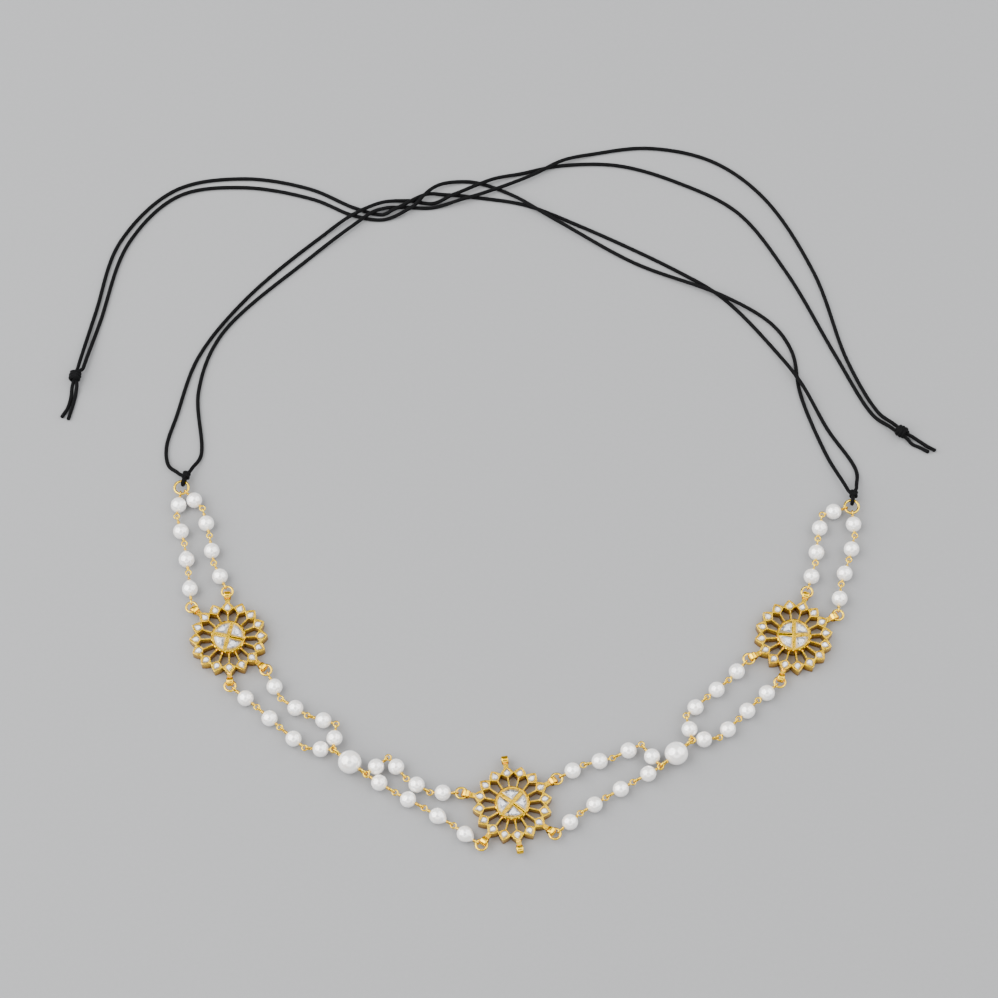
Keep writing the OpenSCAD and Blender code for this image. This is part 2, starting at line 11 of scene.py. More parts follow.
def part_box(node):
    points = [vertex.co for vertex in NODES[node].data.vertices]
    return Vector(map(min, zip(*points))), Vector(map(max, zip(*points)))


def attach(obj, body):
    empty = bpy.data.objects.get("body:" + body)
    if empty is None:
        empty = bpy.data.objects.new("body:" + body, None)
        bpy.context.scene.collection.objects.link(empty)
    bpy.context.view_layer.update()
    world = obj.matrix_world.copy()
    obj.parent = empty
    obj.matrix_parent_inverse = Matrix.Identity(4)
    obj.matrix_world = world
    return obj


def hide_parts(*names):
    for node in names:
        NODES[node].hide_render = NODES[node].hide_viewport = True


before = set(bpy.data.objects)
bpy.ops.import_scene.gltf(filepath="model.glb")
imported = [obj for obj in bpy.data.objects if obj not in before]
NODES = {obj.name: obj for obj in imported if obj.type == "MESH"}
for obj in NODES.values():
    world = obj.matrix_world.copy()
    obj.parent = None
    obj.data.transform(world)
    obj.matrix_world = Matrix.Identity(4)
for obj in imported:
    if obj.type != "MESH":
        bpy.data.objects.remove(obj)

bl_info = {
    "name": "Matha patti",
    "version": (1, 0, 0),
    "blender": (4, 5, 0),
    "location": "3D View > Sidebar > Jewel",
    "description": "Gold medallions, foiled stones, pearl strands and black tie cords",
    "category": "Object",
}

MM = 0.001
UP = Vector((0, 0, 1))
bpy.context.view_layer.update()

# The jewel's layout, in millimetres and degrees, as its source gives it

GAP = 0.1
PETALS = 16
PETAL_STEP = 360 / PETALS
PEAR_SEAT_R = 8.965
BAIL_R = 13.0
JUMP_REACH = 1.2702
JUMP_LEAN = 0.2998
DISC_H = 3.9

# at: the disc's middle. turn: the way of the first petal. bars: the way of the first bar.
# cut: the way of the bar with the saw cut, from the first. linked: petals whose bails hold a strand.
MEDALLIONS = {
    "left": {"at": (-79, 49), "turn": 93.5, "bars": 77, "cut": 270, "linked": (0, 2, 8, 10)},
    "centre": {"at": (0, 0), "turn": 99, "bars": 51, "cut": 270, "linked": (3, 6, 10, 13)},
    "right": {"at": (78.5, 49.5), "turn": 95, "bars": 88, "cut": 90, "linked": (5, 7, 13, 15)},
}
END_RINGS = {"left": (-94, 95.5), "right": (96.5, 89.5)}
# the pearl's middle and the way of its wire
LARGE_PEARLS = {"left": ((-44.5, 12), 142), "right": ((45, 14.5), 41)}

# name: (end ring and medallion, petal of its bail, joints, drop-shaped pearls)
END_STRANDS = {
    "left_end_outer": ("left", 2, ((-95, 86.5), (-92.5, 78), (-91, 69)), (2, 3)),
    "left_end_inner": ("left", 0, ((-87.8, 89), (-85.5, 80.5), (-84, 72)), ()),
    "right_end_outer": ("right", 13, ((97, 80.5), (95, 73), (92.5, 65.5)), ()),
    "right_end_inner": ("right", 15, ((88, 87), (86.5, 79.5), (85.5, 72)), ()),
}
# name: (medallion, petal of its bail, lean, joints, large pearl, side of its eye, level,
# drop-shaped pearls)
SIDE_STRANDS = {
    "left_side_outer": ("left", 8, 0, ((-70.5, 28.5), (-64, 22.5), (-57, 16.5)), "left", 1, -1, ()),
    "left_side_inner": ("left", 10, 0, ((-64, 31), (-56.5, 26), (-48.5, 23.5)), "left", 1, 1, ()),
    "left_front_outer": ("centre", 6, 1, ((-16, -6), (-24, -1), (-32, 3.5)), "left", -1, -1, (0, 1)),
    "left_front_inner": ("centre", 3, 0, ((-22.5, 3.5), (-29, 7.5), (-34, 13.7)), "left", -1, 1, ()),
    "right_front_outer": ("centre", 10, 1, ((18.5, -2.5), (25.5, 2), (33, 6.5)), "right", -1, -1, ()),
    "right_front_inner": ("centre", 13, 0, ((19.5, 11.5), (27.5, 13.5), (35.5, 17.5)), "right", -1, 1, ()),
    "right_side_outer": ("right", 7, 0, ((68, 30.5), (62.5, 25), (57, 19.5)), "right", 1, -1, ()),
    "right_side_inner": ("right", 5, 0, ((60, 36.5), (54, 31.5), (48, 26)), "right", 1, 1, ()),
}

STRANDS = (*END_STRANDS, *SIDE_STRANDS)

# heights of a cord's middle: on the surface, and over another cord
LOW, HIGH = 0.55, 1.8
CORD_ROUTES = {
    "left_cord_a": (
        (-95.2, 100.2, 1.9), (-98.2, 103.2, 0.8), (-99, 109, LOW), (-96.5, 119, LOW), (-91, 138, LOW),
        (-78, 157, LOW), (-57.5, 177, LOW), (-47, 185, HIGH), (-39, 189, HIGH), (-31, 190.5, LOW),
        (-23.5, 189.5, LOW), (-17, 192, HIGH), (-6, 197, HIGH), (4, 200, LOW), (15, 202.5, LOW),
        (32, 202.5, LOW), (50, 196.5, LOW), (67, 186.5, LOW), (81, 166, LOW), (94, 139, LOW),
        (104, 119.5, LOW), (109.5, 114.5, 1.5)),
    "left_cord_b": (
        (-91.5, 101.5, 1.6), (-89, 106.5, LOW), (-90.5, 127, LOW), (-84.5, 145.5, LOW), (-60.5, 170, LOW),
        (-47.5, 181, 1.5), (-41, 186, HIGH), (-37.5, 187.5, 1.3), (-33.5, 188.3, LOW), (-24, 188, LOW),
        (-14, 190.5, HIGH), (-3, 194.5, HIGH), (7, 199, HIGH), (15, 203.5, HIGH), (27, 207, LOW),
        (42, 208.5, LOW), (60, 204, LOW), (75, 191.5, LOW), (89, 166, LOW), (97.5, 137, LOW),
        (105.5, 120.5, LOW), (110.5, 115.5, 1.5)),
    "right_cord_a": (
        (95.6, 95.2, 1.8), (90, 107, LOW), (83.5, 126, LOW), (81.5, 140, LOW), (75.5, 149.5, LOW),
        (61.5, 158, HIGH), (36, 169.5, LOW), (14, 183, 1.4), (4, 189.5, HIGH), (-3, 194, LOW),
        (-13, 197, LOW), (-22, 195, 1.7), (-25.5, 191.5, 2.9), (-29.5, 187.5, 2), (-38, 184, LOW),
        (-47, 185.5, LOW), (-59, 191, LOW), (-80, 195, LOW), (-99, 192, LOW), (-113, 176, LOW),
        (-120, 150, LOW), (-124, 134.5, 1.5)),
    "right_cord_b": (
        (98.2, 96, 1.8), (98.5, 101.5, LOW), (91, 114.5, LOW), (83.5, 129.5, HIGH), (75, 142.5, LOW),
        (61.5, 158, LOW), (49, 166.5, LOW), (20, 182, LOW), (4, 189, LOW), (-10, 191.5, LOW),
        (-19, 192.5, LOW), (-25.5, 192, 1.6), (-34.5, 187, HIGH), (-38.5, 185.7, LOW), (-46.5, 188, LOW),
        (-60, 194.5, LOW), (-80, 198, LOW), (-100, 194, LOW), (-115.5, 176.5, LOW), (-121.5, 153, LOW),
        (-125.5, 135, 1.5)),
}
# the way from an end ring to its hitch
HITCH_WAYS = {"left": 73, "right": 79}
END_KNOTS = {
    "left": {
        "at": (-126.3, 131.4), "turn": 254, "cords": ("right_cord_a", "right_cord_b"),
        "tails": (
            ((-126.5, 130.5, 1.6), (-127, 128.5, 1.2), (-127.3, 125, LOW), (-128, 121.7, LOW),
             (-129.6, 118.7, LOW)),
            ((-126, 130.5, 1.6), (-125.7, 128.5, 1.2), (-126.1, 125, LOW), (-126.8, 121.5, LOW),
             (-127.7, 118, LOW)),
        ),
    },
    "right": {
        "at": (112, 113.5), "turn": -37, "cords": ("left_cord_a", "left_cord_b"),
        "tails": (
            ((112.5, 113.5, 1.6), (114.5, 112.5, 1.1), (117, 111, LOW), (119, 109.5, LOW),
             (121.5, 108, LOW)),
            ((112, 113, 1.6), (113.5, 111.5, 1.1), (115, 110, LOW), (117, 109, LOW),
             (119.5, 107.5, LOW)),
        ),
    },
}

# Details that only the finished pieces have, in millimetres

# the saw cut in a bar: its middle from the disc's, its length, width and depth
CUT_R, CUT_LENGTH, CUT_WIDTH, CUT_DEPTH = 2.35, 3.9, 0.28, 0.55
# a medallion's worn edges lie inside this radius and above this height
RIM_R, RIM_Z = 11.2, 2.6
# a quarter stone: its inner corner, where the corner's sides end, its round side and its table's middle
QUARTER_CORNER, QUARTER_SIDE, QUARTER_R, QUARTER_MIDDLE = 0.49, 2.4, 4.08, 1.85
# a petal stone's rows of facets, from below: rise, scale and turn
PEAR_ROWS = ((0.98, 1.0, 0.0), (0.18, 0.74, 10.0), (0.1, 0.78, -8.0), (0.03, 0.8, 3.0))
# what a pearl's bore is wider than its wire, and how far a wrap stays off the pearl
BORE_ROOM, WRAP_ROOM = 0.16, 0.02
# the share of its width that a drop loses at its peak; the shares of their height that a bore's middle and
# rim keep, with the rim's radius, in bores, between them
DROP_SLIM, BORE_SINK, BORE_RIM, RIM_SINK = 0.34, 0.72, 1.35, 0.985
# a wrap's distance from a loop's end, and from a loop that lies level; its radius and pitch, in wires
WRAP_START, WRAP_START_LEVEL, WRAP_R, WRAP_PITCH = 0.02, 0.36, 0.42, 1.02
# a knot's wrap: half its length, its radius, its turns; and the loop over it: its radius and its tilt
HITCH_HALF, HITCH_WRAP_R, HITCH_TURNS, HITCH_OVER_R, HITCH_TILT = 0.92, 0.66, 2.3, 0.74, 0.62
KNOT_HALF, KNOT_WRAP_R, KNOT_TURNS, KNOT_OVER_R, KNOT_TILT = 1.43, 0.95, 3.4, 1.3, 0.85
KNOT_Z = 1.8
# how far a hitch's body stands off its ring, and its neck from its middle
HITCH_STAND, HITCH_NECK = 0.95, 0.9
# a cord's strands and how deep the grooves between them are, as a share of its radius
CORD_STRANDS, CORD_GROOVE = 3, 0.05
# the sides of a cord and of one in a knot, and the distances between their points
CORD_SIDES, KNOT_SIDES, CORD_STEP, KNOT_STEP = 15, 12, 0.45, 0.3

# The camera, the lights and the surround, in metres and degrees

CAMERA_AT, CAMERA_TILT, CAMERA_LENS = (-0.00362, -0.3077, 0.85918), 25, 120
TO_LENS = (0, -0.4226, 0.9063)
# each soft light's place and its share of the power; their size and the place that they point at
LIGHTS = {"key": ((-0.85, 0.1, 0.75), 1.0), "side": ((0.85, 0.25, 0.7), 0.55)}
LIGHT_SIZE, LIT_PLACE = 1.6, Vector((0, 0.08, 0))
# how bright the surround is by height, and the tent by how nearly a way points at the lens
SURROUND_STOPS = ((0.0, 0.2), (0.4, 0.45), (0.85, 1.0))
TENT_STOPS = ((0.68, 0.0), (0.8, 1.0), (0.93, 1.0), (0.965, 0.0))
# heights between which painted shade darkens the gold: fully below the first, not at all above the second
SHADE_FULL_BELOW, SHADE_NONE_ABOVE = 0.0002, 0.0029


# Sizes and colours

def length(name, description, default):
    return FloatProperty(name=name, description=description, default=default, unit="LENGTH")


def tint(name, description, default):
    return FloatVectorProperty(name=name, description=description, subtype="COLOR", default=default)


class MetalSettings(bpy.types.PropertyGroup):
    edge_round: length("Edge rounding", "Radius of a medallion's worn edges", 0.00005)
    medallion_colour: tint("Medallion gold", "Colour of the cast gold", (0.92, 0.56, 0.010))
    wire_colour: tint("Wire gold", "Colour of the links and rings", (0.8, 0.52, 0.02))
    roughness: FloatProperty(name="Polish", description="Roughness of the gold", default=0.2, min=0, max=1)
    # painted shade: the colour that the cast gold darkens to towards the bottom of the openwork
    painted_recess_shade: tint("Recess", "Colour of the shaded walls, deep in the openwork", (0.3, 0.13, 0.001))


class WireSettings(bpy.types.PropertyGroup):
    link_wire: length("Link wire", "Diameter of a link's wire", 0.00044)
    link_loop: length("Link loop", "Link loop, across its wire's centreline", 0.0015)
    pin: length("Link pin", "Diameter of a link's pin", 0.0004)
    eye_wire: length("Eye wire", "Diameter of the wire through a large pearl", 0.00056)
    eye_loop: length("Eye loop", "Eye of a large pearl's wire, across its centreline", 0.0022)
    eye_neck: length("Eye neck", "Wrapped length beside a large pearl", 0.0004)
    wrap_wire: length("Wrap wire", "Diameter of the wire wrapped round a pin", 0.00026)
    jump_wire: length("Jump ring wire", "Diameter of a jump ring's wire", 0.00068)
    jump_ring: length("Jump ring", "Jump ring, across its wire's centreline", 0.003)
    end_wire: length("End ring wire", "Diameter of an end ring's wire", 0.00074)
    end_ring: length("End ring", "End ring, across its wire's centreline", 0.00396)


class PearlSettings(bpy.types.PropertyGroup):
    small: length("Strand pearl", "Diameter of a strand pearl", 0.0045)
    large: length("Large pearl", "Diameter of a connector pearl", 0.0065)
    peak: length("Drop peak", "How far a drop-shaped pearl rises", 0.0006)
    colour: tint("Nacre", "Colour of the nacre", (0.97, 0.95, 0.92))
    blush: tint("Blush", "Second tone of the nacre", (0.95, 0.90, 0.86))


class StoneSettings(bpy.types.PropertyGroup):
    round_end: length("Round end", "Radius of a petal stone's round end", 0.00098)
    point: length("Point", "From the round end's middle to the stone's point", 0.00147)
    colour: tint("Stone", "Colour of the foiled stones", (0.93, 0.93, 0.94))
    seed: IntProperty(name="Cut seed", description="Chooses how each stone's cut varies", default=7)


class CordSettings(bpy.types.PropertyGroup):
    diameter: length("Cord", "Diameter of the cord", 0.0011)
    lay_length: length("Lay", "Length of one turn of the cord's twist", 0.0024)
    colour: tint("Cord", "Colour of the cord", (0.0016, 0.0016, 0.0018))


class StageSettings(bpy.types.PropertyGroup):
    floor: tint("Floor", "Colour of the floor", (0.225, 0.227, 0.232))
    light: FloatProperty(
        name="Light", description="Power of the main soft light", default=38.0, unit="POWER")
    world: FloatProperty(name="Surround", description="Brightness of the surround", default=0.5)
    tent: FloatProperty(
        name="Tent", description="Brightness of the white tent round the lens", default=2.5)


SETTINGS = {
    "jewel_metal": MetalSettings, "jewel_wire": WireSettings, "jewel_pearl": PearlSettings,
    "jewel_stone": StoneSettings, "jewel_cord": CordSettings, "jewel_stage": StageSettings,
}


def settings(name):
    return getattr(bpy.context.scene, name)


def cord_make():
    """The cord's radius in millimetres, and its twist: strands, length of a turn and depth."""
    c = settings("jewel_cord")
    return c.diameter / 2 / MM, (CORD_STRANDS, c.lay_length / MM, CORD_GROOVE)


# Places

def polar(r, turn):
    a = math.radians(turn)
    return Vector((r * math.cos(a), r * math.sin(a), 0))


def flat(p, z=0.0):
    return Vector((p[0], p[1], z))


def level_unit(a, b):
    return flat(b - a).normalized()


def square_to(way):
    """A unit vector at right angles to a way, level where it can be."""
    return way.cross(UP if abs(way.z) < 0.9 else Vector((1, 0, 0))).normalized()


def z_turn(degrees):
    return Matrix.Rotation(math.radians(degrees), 4, "Z")


def frame_along(at, way):
    """A matrix that takes +Z to a way and the origin to a place."""
    return Matrix.Translation(at) @ way.to_track_quat("Z", "Y").to_matrix().to_4x4()


class Layout:
    """Works out where the links and pearls lie, in millimetres."""

    def __init__(self):
        wire, pearl = settings("jewel_wire"), settings("jewel_pearl")
        self.wire = {k: getattr(wire, k) / MM for k in WireSettings.__annotations__}
        self.small, self.large = pearl.small / MM, pearl.large / MM
        self.chain_z, self.connector_z = self.small / 2, self.large / 2
        w = self.wire
        self.link_hook = w["link_loop"] - w["link_wire"] - GAP
        self.jump_hook = self.ring_hook(w["jump_ring"], w["jump_wire"])
        self.end_hook = self.ring_hook(w["end_ring"], w["end_wire"])
        self.eye_reach = self.large / 2 + w["eye_neck"] + w["eye_loop"]

    def ring_hook(self, ring, wire):
        """From a ring's middle to that of a link's loop that hooks it."""
        return (ring - wire - self.wire["link_wire"] + self.wire["link_loop"]) / 2 - GAP

    def jump_at(self, side, petal, lean=0):
        """The middle of a bail's jump ring, or where a link leans on it."""
        m = MEDALLIONS[side]
        reach = BAIL_R + JUMP_REACH + lean * JUMP_LEAN
        return flat(m["at"], self.chain_z) + polar(reach, m["turn"] + petal * PETAL_STEP)

    def lean_hook(self, start, after, jump):
        """The same as ring_hook for a jump ring, for a link that leaves it to one side."""
        off = start - jump
        along = off.dot(level_unit(start, after))
        inside = self.jump_hook - self.wire["link_loop"] / 2
        return self.wire["link_loop"] / 2 - along + math.sqrt(along ** 2 + inside ** 2 - off.length_squared)

    def strand(self, name):
        """The ends of each link, whether its last loop is upright, and which pearls are drop-shaped."""
        if name in END_STRANDS:
            side, petal, joints, drops = END_STRANDS[name]
            path = [flat(END_RINGS[side]), *map(flat, joints), self.jump_at(side, petal)]
            path = [flat(p, self.chain_z) for p in path]
            first, last = self.end_hook, self.jump_hook
        else:
            side, petal, lean, joints, pearl, way, level, drops = SIDE_STRANDS[name]
            at, turn = LARGE_PEARLS[pearl]
            start = self.jump_at(side, petal, lean)
            path = [start] + [flat(p, self.chain_z) for p in joints]
            rise = level * (self.wire["link_wire"] / 2 + GAP)
            path.append(flat(at, self.connector_z + rise) + way * polar(self.eye_reach, turn))
            first = self.lean_hook(start, path[1], self.jump_at(side, petal))
            last = 0
        links = []
        for i in range(len(path) - 1):
            along = level_unit(path[i], path[i + 1])
            end = i == len(path) - 2
            a = path[i] + (first if i == 0 else self.link_hook) * along
            b = path[i + 1] - (last if end else 0) * along
            links.append((a, b, end and last > 0))
        return links, drops

    def eyes(self, side):
        at, turn = LARGE_PEARLS[side]
        reach = polar(self.eye_reach - self.wire["eye_loop"] / 2, turn)
        middle = flat(at, self.connector_z)
        return middle - reach, middle + reach


def pin_ends(a, b, loop):
    along = level_unit(a, b)
    return a + loop / 2 * along, b - loop / 2 * along


def eased_route(points, steps=14):
    """A smooth curve through the route's points, with its height eased from one to the next."""
    p = [Vector(q) for q in points]
    p = [2 * p[0] - p[1]] + p + [2 * p[-1] - p[-2]]
    out = []
    for k in range(1, len(p) - 2):
        q = p[k - 1:k + 3]
        t = [0.0]
        for a, b in zip(q, q[1:]):
            t.append(t[-1] + math.sqrt((b - a).length))
        for j in range(steps):
            s = t[1] + (t[2] - t[1]) * j / steps
            mix = lambda a, b, ta, tb: ((tb - s) * a + (s - ta) * b) / (tb - ta)
            a1, a2, a3 = (mix(q[i], q[i + 1], t[i], t[i + 1]) for i in range(3))
            b1, b2 = mix(a1, a2, t[0], t[2]), mix(a2, a3, t[1], t[3])
            c = mix(b1, b2, t[1], t[2])
            u = j / steps
            c.z = q[1].z + (q[2].z - q[1].z) * u * u * (3 - 2 * u)
            out.append(c)
    return out + [p[-2].copy()]


def even_points(points, spacing):
    """The same line with points at an even spacing."""
    lengths = [0.0]
    for a, b in zip(points, points[1:]):
        lengths.append(lengths[-1] + (b - a).length)
    count = max(2, round(lengths[-1] / spacing))
    out, k = [], 0
    for i in range(count + 1):
        s = lengths[-1] * i / count
        while k < len(points) - 2 and lengths[k + 1] < s:
            k += 1
        part = lengths[k + 1] - lengths[k]
        out.append(points[k].lerp(points[k + 1], (s - lengths[k]) / part if part else 0))
    return out


def helix(a, b, radius, turns, start=0.0, steps=14, swell=0.0):
    """Points of a helix round the line from a to b, wider in its middle if it swells."""
    along = b - a
    t = along.normalized()
    x = square_to(t)
    y = t.cross(x)
    count = max(6, round(turns * steps))
    out = []
    for i in range(count + 1):
        angle = start + 2 * math.pi * turns * i / count
        r = radius * (1 + swell * math.sin(math.pi * i / count))
        out.append(a + along * i / count + r * (math.cos(angle) * x + math.sin(angle) * y))
    return out


def tilted_loop(middle, out, radius, tilt, count):
    """Points of a loop round a knot that tilts along it."""
    across = Vector((-out.y, out.x, 0))
    return [middle + radius * (math.cos(a) * across + math.sin(a) * UP) + tilt * math.cos(a) * out
            for a in (2 * math.pi * i / count for i in range(count))]


# Mesh making

def deselect():
    if bpy.context.object and bpy.context.object.mode != "OBJECT":
        bpy.ops.object.mode_set(mode="OBJECT")
    bpy.ops.object.select_all(action="DESELECT")


def select_only(*objects):
    deselect()
    for o in objects:
        o.select_set(True)
    bpy.context.view_layer.objects.active = objects[0]


@contextmanager
def editing(o, action="SELECT"):
    """Edit mode on one object, with all of it selected, or none."""
    select_only(o)
    bpy.ops.object.mode_set(mode="EDIT")
    bpy.ops.mesh.select_all(action=action)
    yield
    bpy.ops.object.mode_set(mode="OBJECT")


def link_new(name, data):
    o = bpy.data.objects.new(name, data)
    bpy.context.scene.collection.objects.link(o)
    return o


def join(name, objects):
    """Joins the objects into one piece of that name, with its place in its mesh."""
    select_only(*objects)
    if len(objects) > 1:
        bpy.ops.object.join()
    o = bpy.context.object
    o.name = o.data.name = name
    bpy.ops.object.transform_apply(location=True, rotation=True, scale=True)
    return o


def put_copy(master, matrix):
    """A copy of a modelled master, with a mesh of its own, placed by a matrix in millimetres."""
    o = link_new(master.name + "_copy", master.data.copy())
    o.data.transform(matrix)
    return o


def drop_master(*masters):
    for o in masters:
        data = o.data
        bpy.data.objects.remove(o)
        bpy.data.meshes.remove(data)


def to_metres(o):
    o.data.transform(Matrix.Scale(MM, 4))
    o.data.update()
    return o


def finish_piece(o, slot, finish, *nodes):
    """Puts a finished piece on the jewel: its material, its body and the nodes that it stands for."""
    o.data.materials.clear()
    o.data.materials.append(material(finish))
    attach(o, "root")
    if nodes:
        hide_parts(*nodes)
    return o


def make_piece(name, parts, slot, finish, *nodes):
    """Joins parts that were modelled in millimetres and finishes them as one piece."""
    return finish_piece(to_metres(join(name, parts)), slot, finish, *nodes)


def swept_rows(points, closed):
    """Each point, its tangent, a normal carried along and the length so far; and a loop's closing turn."""
    n = len(points)
    rows, normal, s = [], None, 0.0
    for i, p in enumerate(points):
        a = points[i - 1] if i or closed else points[0]
        b = points[(i + 1) % n] if i < n - 1 or closed else points[-1]
        t = (b - a).normalized()
        if normal is None:
            normal = square_to(t)
        else:
            normal = (normal - normal.dot(t) * t).normalized()
            s += (p - points[i - 1]).length
        rows.append((p, t, normal.copy(), s))
    if not closed:
        return rows, 0.0
    _, t, first, _ = rows[0]
    last = (normal - normal.dot(t) * t).normalized()
    return rows, math.atan2(last.cross(first).dot(t), last.dot(first))


def tube(name, points, radius, sides, twist=None, closed=False, cap_round=True):
    """A round tube along the points, with its UV map. twist is (strands, length of a turn, depth)."""
    bm = bmesh.new()
    uv = bm.loops.layers.uv.new("UVMap")
    rows, closing_turn = swept_rows(points, closed)
    n = len(rows)
    rings = []
    for i, (p, t, normal, s) in enumerate(rows):
        side = t.cross(normal)
        shift = closing_turn * i / n
        ring = []
        for k in range(sides):
            a = 2 * math.pi * k / sides
            r = radius
            if twist:
                strands, pitch, depth = twist
                wave = abs(math.cos((strands * a - 2 * math.pi * s / pitch * strands) / 2))
                r = radius * (1 - depth * (1 - wave ** 0.5))
            out = math.cos(a + shift) * normal + math.sin(a + shift) * side
            ring.append(bm.verts.new(p + r * out))
        rings.append(ring)
    step = rows[-1][3] / max(1, n - 1)
    for i in range(n if closed else n - 1):
        a, b = rings[i], rings[(i + 1) % n]
        for k in range(sides):
            j = (k + 1) % sides
            face = bm.faces.new((a[k], a[j], b[j], b[k]))
            face.smooth = True
            for loop, (u, v) in zip(face.loops, ((k, i), (k + 1, i), (k + 1, i + 1), (k, i + 1))):
                loop[uv].uv = (u / sides, v * step)
    if not closed:
        for ring, row, sign in ((rings[0], rows[0], -1), (rings[-1], rows[-1], 1)):
            cap_tube(bm, ring, row[0], row[1] * sign, sign, radius if cap_round else 0)
    data = bpy.data.meshes.new(name)
    bm.to_mesh(data)
    bm.free()
    return link_new(name, data)


def cap_tube(bm, ring, middle, out, sign, swell):
    """Closes a tube's end, with a rounded tip where it swells."""
    inner = [bm.verts.new(v.co.lerp(middle, 0.35) + out * (swell * 0.25)) for v in ring]
    tip = bm.verts.new(middle + out * (swell * 0.35))
    for k in range(len(ring)):
        j = (k + 1) % len(ring)
        for face in ((ring[j], ring[k], inner[k], inner[j]), (inner[j], inner[k], tip)):
            bm.faces.new(face if sign < 0 else face[::-1]).smooth = True


def torus_master(name, loop, wire, major, minor):
    deselect()
    bpy.ops.mesh.primitive_torus_add(
        major_segments=major, minor_segments=minor, major_radius=loop / 2, minor_radius=wire / 2)
    bpy.ops.object.shade_smooth()
    bpy.context.object.name = name
    return bpy.context.object


def knot_cord(name, line, thickness=1.0, **options):
    """A stretch of the twisted cord in a hitch or a knot."""
    radius, twist = cord_make()
    return tube(name, line, radius * thickness, KNOT_SIDES, twist, **options)


def split_ring_master(name, ring, wire):
    """A bent ring of wire whose two cut ends almost meet, spun from a round section."""
    sides = 14
    deselect()
    bpy.ops.mesh.primitive_circle_add(
        vertices=sides, radius=wire / 2, location=(ring / 2, 0, 0), rotation=(math.pi / 2, 0, 0))
    o = bpy.context.object
    bpy.ops.object.transform_apply(location=True, rotation=True)
    with editing(o):
        bpy.ops.mesh.spin(steps=56, angle=math.radians(358.4), center=(0, 0, 0), axis=(0, 0, 1))
    bm = bmesh.new()
    bm.from_mesh(o.data)
    bmesh.ops.holes_fill(bm, edges=[e for e in bm.edges if e.is_boundary], sides=sides)
    bmesh.ops.recalc_face_normals(bm, faces=bm.faces)
    bm.to_mesh(o.data)
    bm.free()
    bpy.ops.object.shade_smooth_by_angle(angle=math.radians(50))
    o.name = name
    return o


def raise_facets(o, rows, middle=Vector((0, 0, 0))):
    """Extrudes a stone's outline row by row, scaled and turned about a middle, and numbers the rows."""
    with editing(o):
        for rise, scale, turn in rows:
            bpy.ops.mesh.extrude_region_move(TRANSFORM_OT_translate={"value": (0, 0, rise)})
            bpy.ops.transform.resize(value=(scale, scale, 1), center_override=middle)
            bpy.ops.transform.rotate(value=math.radians(turn), orient_axis="Z", center_override=middle)
        bpy.ops.mesh.select_all(action="SELECT")
        bpy.ops.mesh.quads_convert_to_tris(quad_method="SHORTEST_DIAGONAL")
        bpy.ops.mesh.normals_make_consistent(inside=False)
    tops = [sum(r[0] for r in rows[:i + 1]) - 0.001 for i in range(len(rows))]
    row = o.data.attributes.new("row", "INT", "FACE")
    for face in o.data.polygons:
        row.data[face.index].value = sum(face.center.z > top for top in tops)
    return o


def paint_facet_glints(o, dice):
    """Paints glints and reflections on each facet, drawn at random: a painted gold reflection at the edge,
    then darker, then brighter to the table.
    """
    glint_tones = o.data.color_attributes.new("glint_tones", "FLOAT_COLOR", "CORNER")
    rows = o.data.attributes["row"].data
    for face in o.data.polygons:
        row = rows[face.index].value
        # painted glints and reflections: a random tone per facet, stored as a colour on its corners
        tone = dice.uniform(0.9, 1.0)
        hue = (1, 1, 1.02)
        if row < 2:
            tone, hue = dice.uniform(0.15, 0.5), (1, 0.7, 0.24)
        elif row == 2:
            tone = dice.uniform(0.06, 0.5)
        elif row == 3:
            tone = dice.uniform(0.45, 1.0) if dice.random() > 0.3 else dice.uniform(0.1, 0.35)
        for corner in face.loop_indices:
            glint_tones.data[corner].color = (*(tone * c for c in hue), 1)


# Materials

# the sockets of a Mix node that mixes colours
MIX_A, MIX_B, MIX_RESULT = 6, 7, 2


def new_material(name):
    m = bpy.data.materials.new(name)
    m.use_nodes = True
    nodes = m.node_tree.nodes
    return m, nodes, m.node_tree.links, nodes["Principled BSDF"]


def set_inputs(node, values):
    for key, value in values.items():
        node.inputs[key].default_value = value


def add_node(nodes, kind, **values):
    n = nodes.new(kind)
    for key, value in values.items():
        if key in n.inputs:
            n.inputs[key].default_value = value
        else:
            setattr(n, key, value)
    return n


def coordinates(nodes, kind="Object"):
    return nodes.new("ShaderNodeTexCoord").outputs[kind]


def noise(nodes, links, where, scale, detail=4.0):
    n = add_node(nodes, "ShaderNodeTexNoise", Scale=scale, Detail=detail)
    links.new(where, n.inputs["Vector"])
    return n.outputs["Fac"]


def ramp(nodes, links, factor, stops):
    """A colour ramp; a stop's colour may be one grey value."""
    n = nodes.new("ShaderNodeValToRGB")
    e = n.color_ramp.elements
    while len(e) < len(stops):
        e.new(0.5)
    for element, (position, colour) in zip(e, stops):
        element.position = position
        element.color = (*colour, 1) if isinstance(colour, tuple) else (colour, colour, colour, 1)
    links.new(factor, n.inputs["Fac"])
    return n.outputs["Color"]


def bump(nodes, links, height, strength, distance):
    n = add_node(nodes, "ShaderNodeBump", Strength=strength, Distance=distance)
    links.new(height, n.inputs["Height"])
    return n


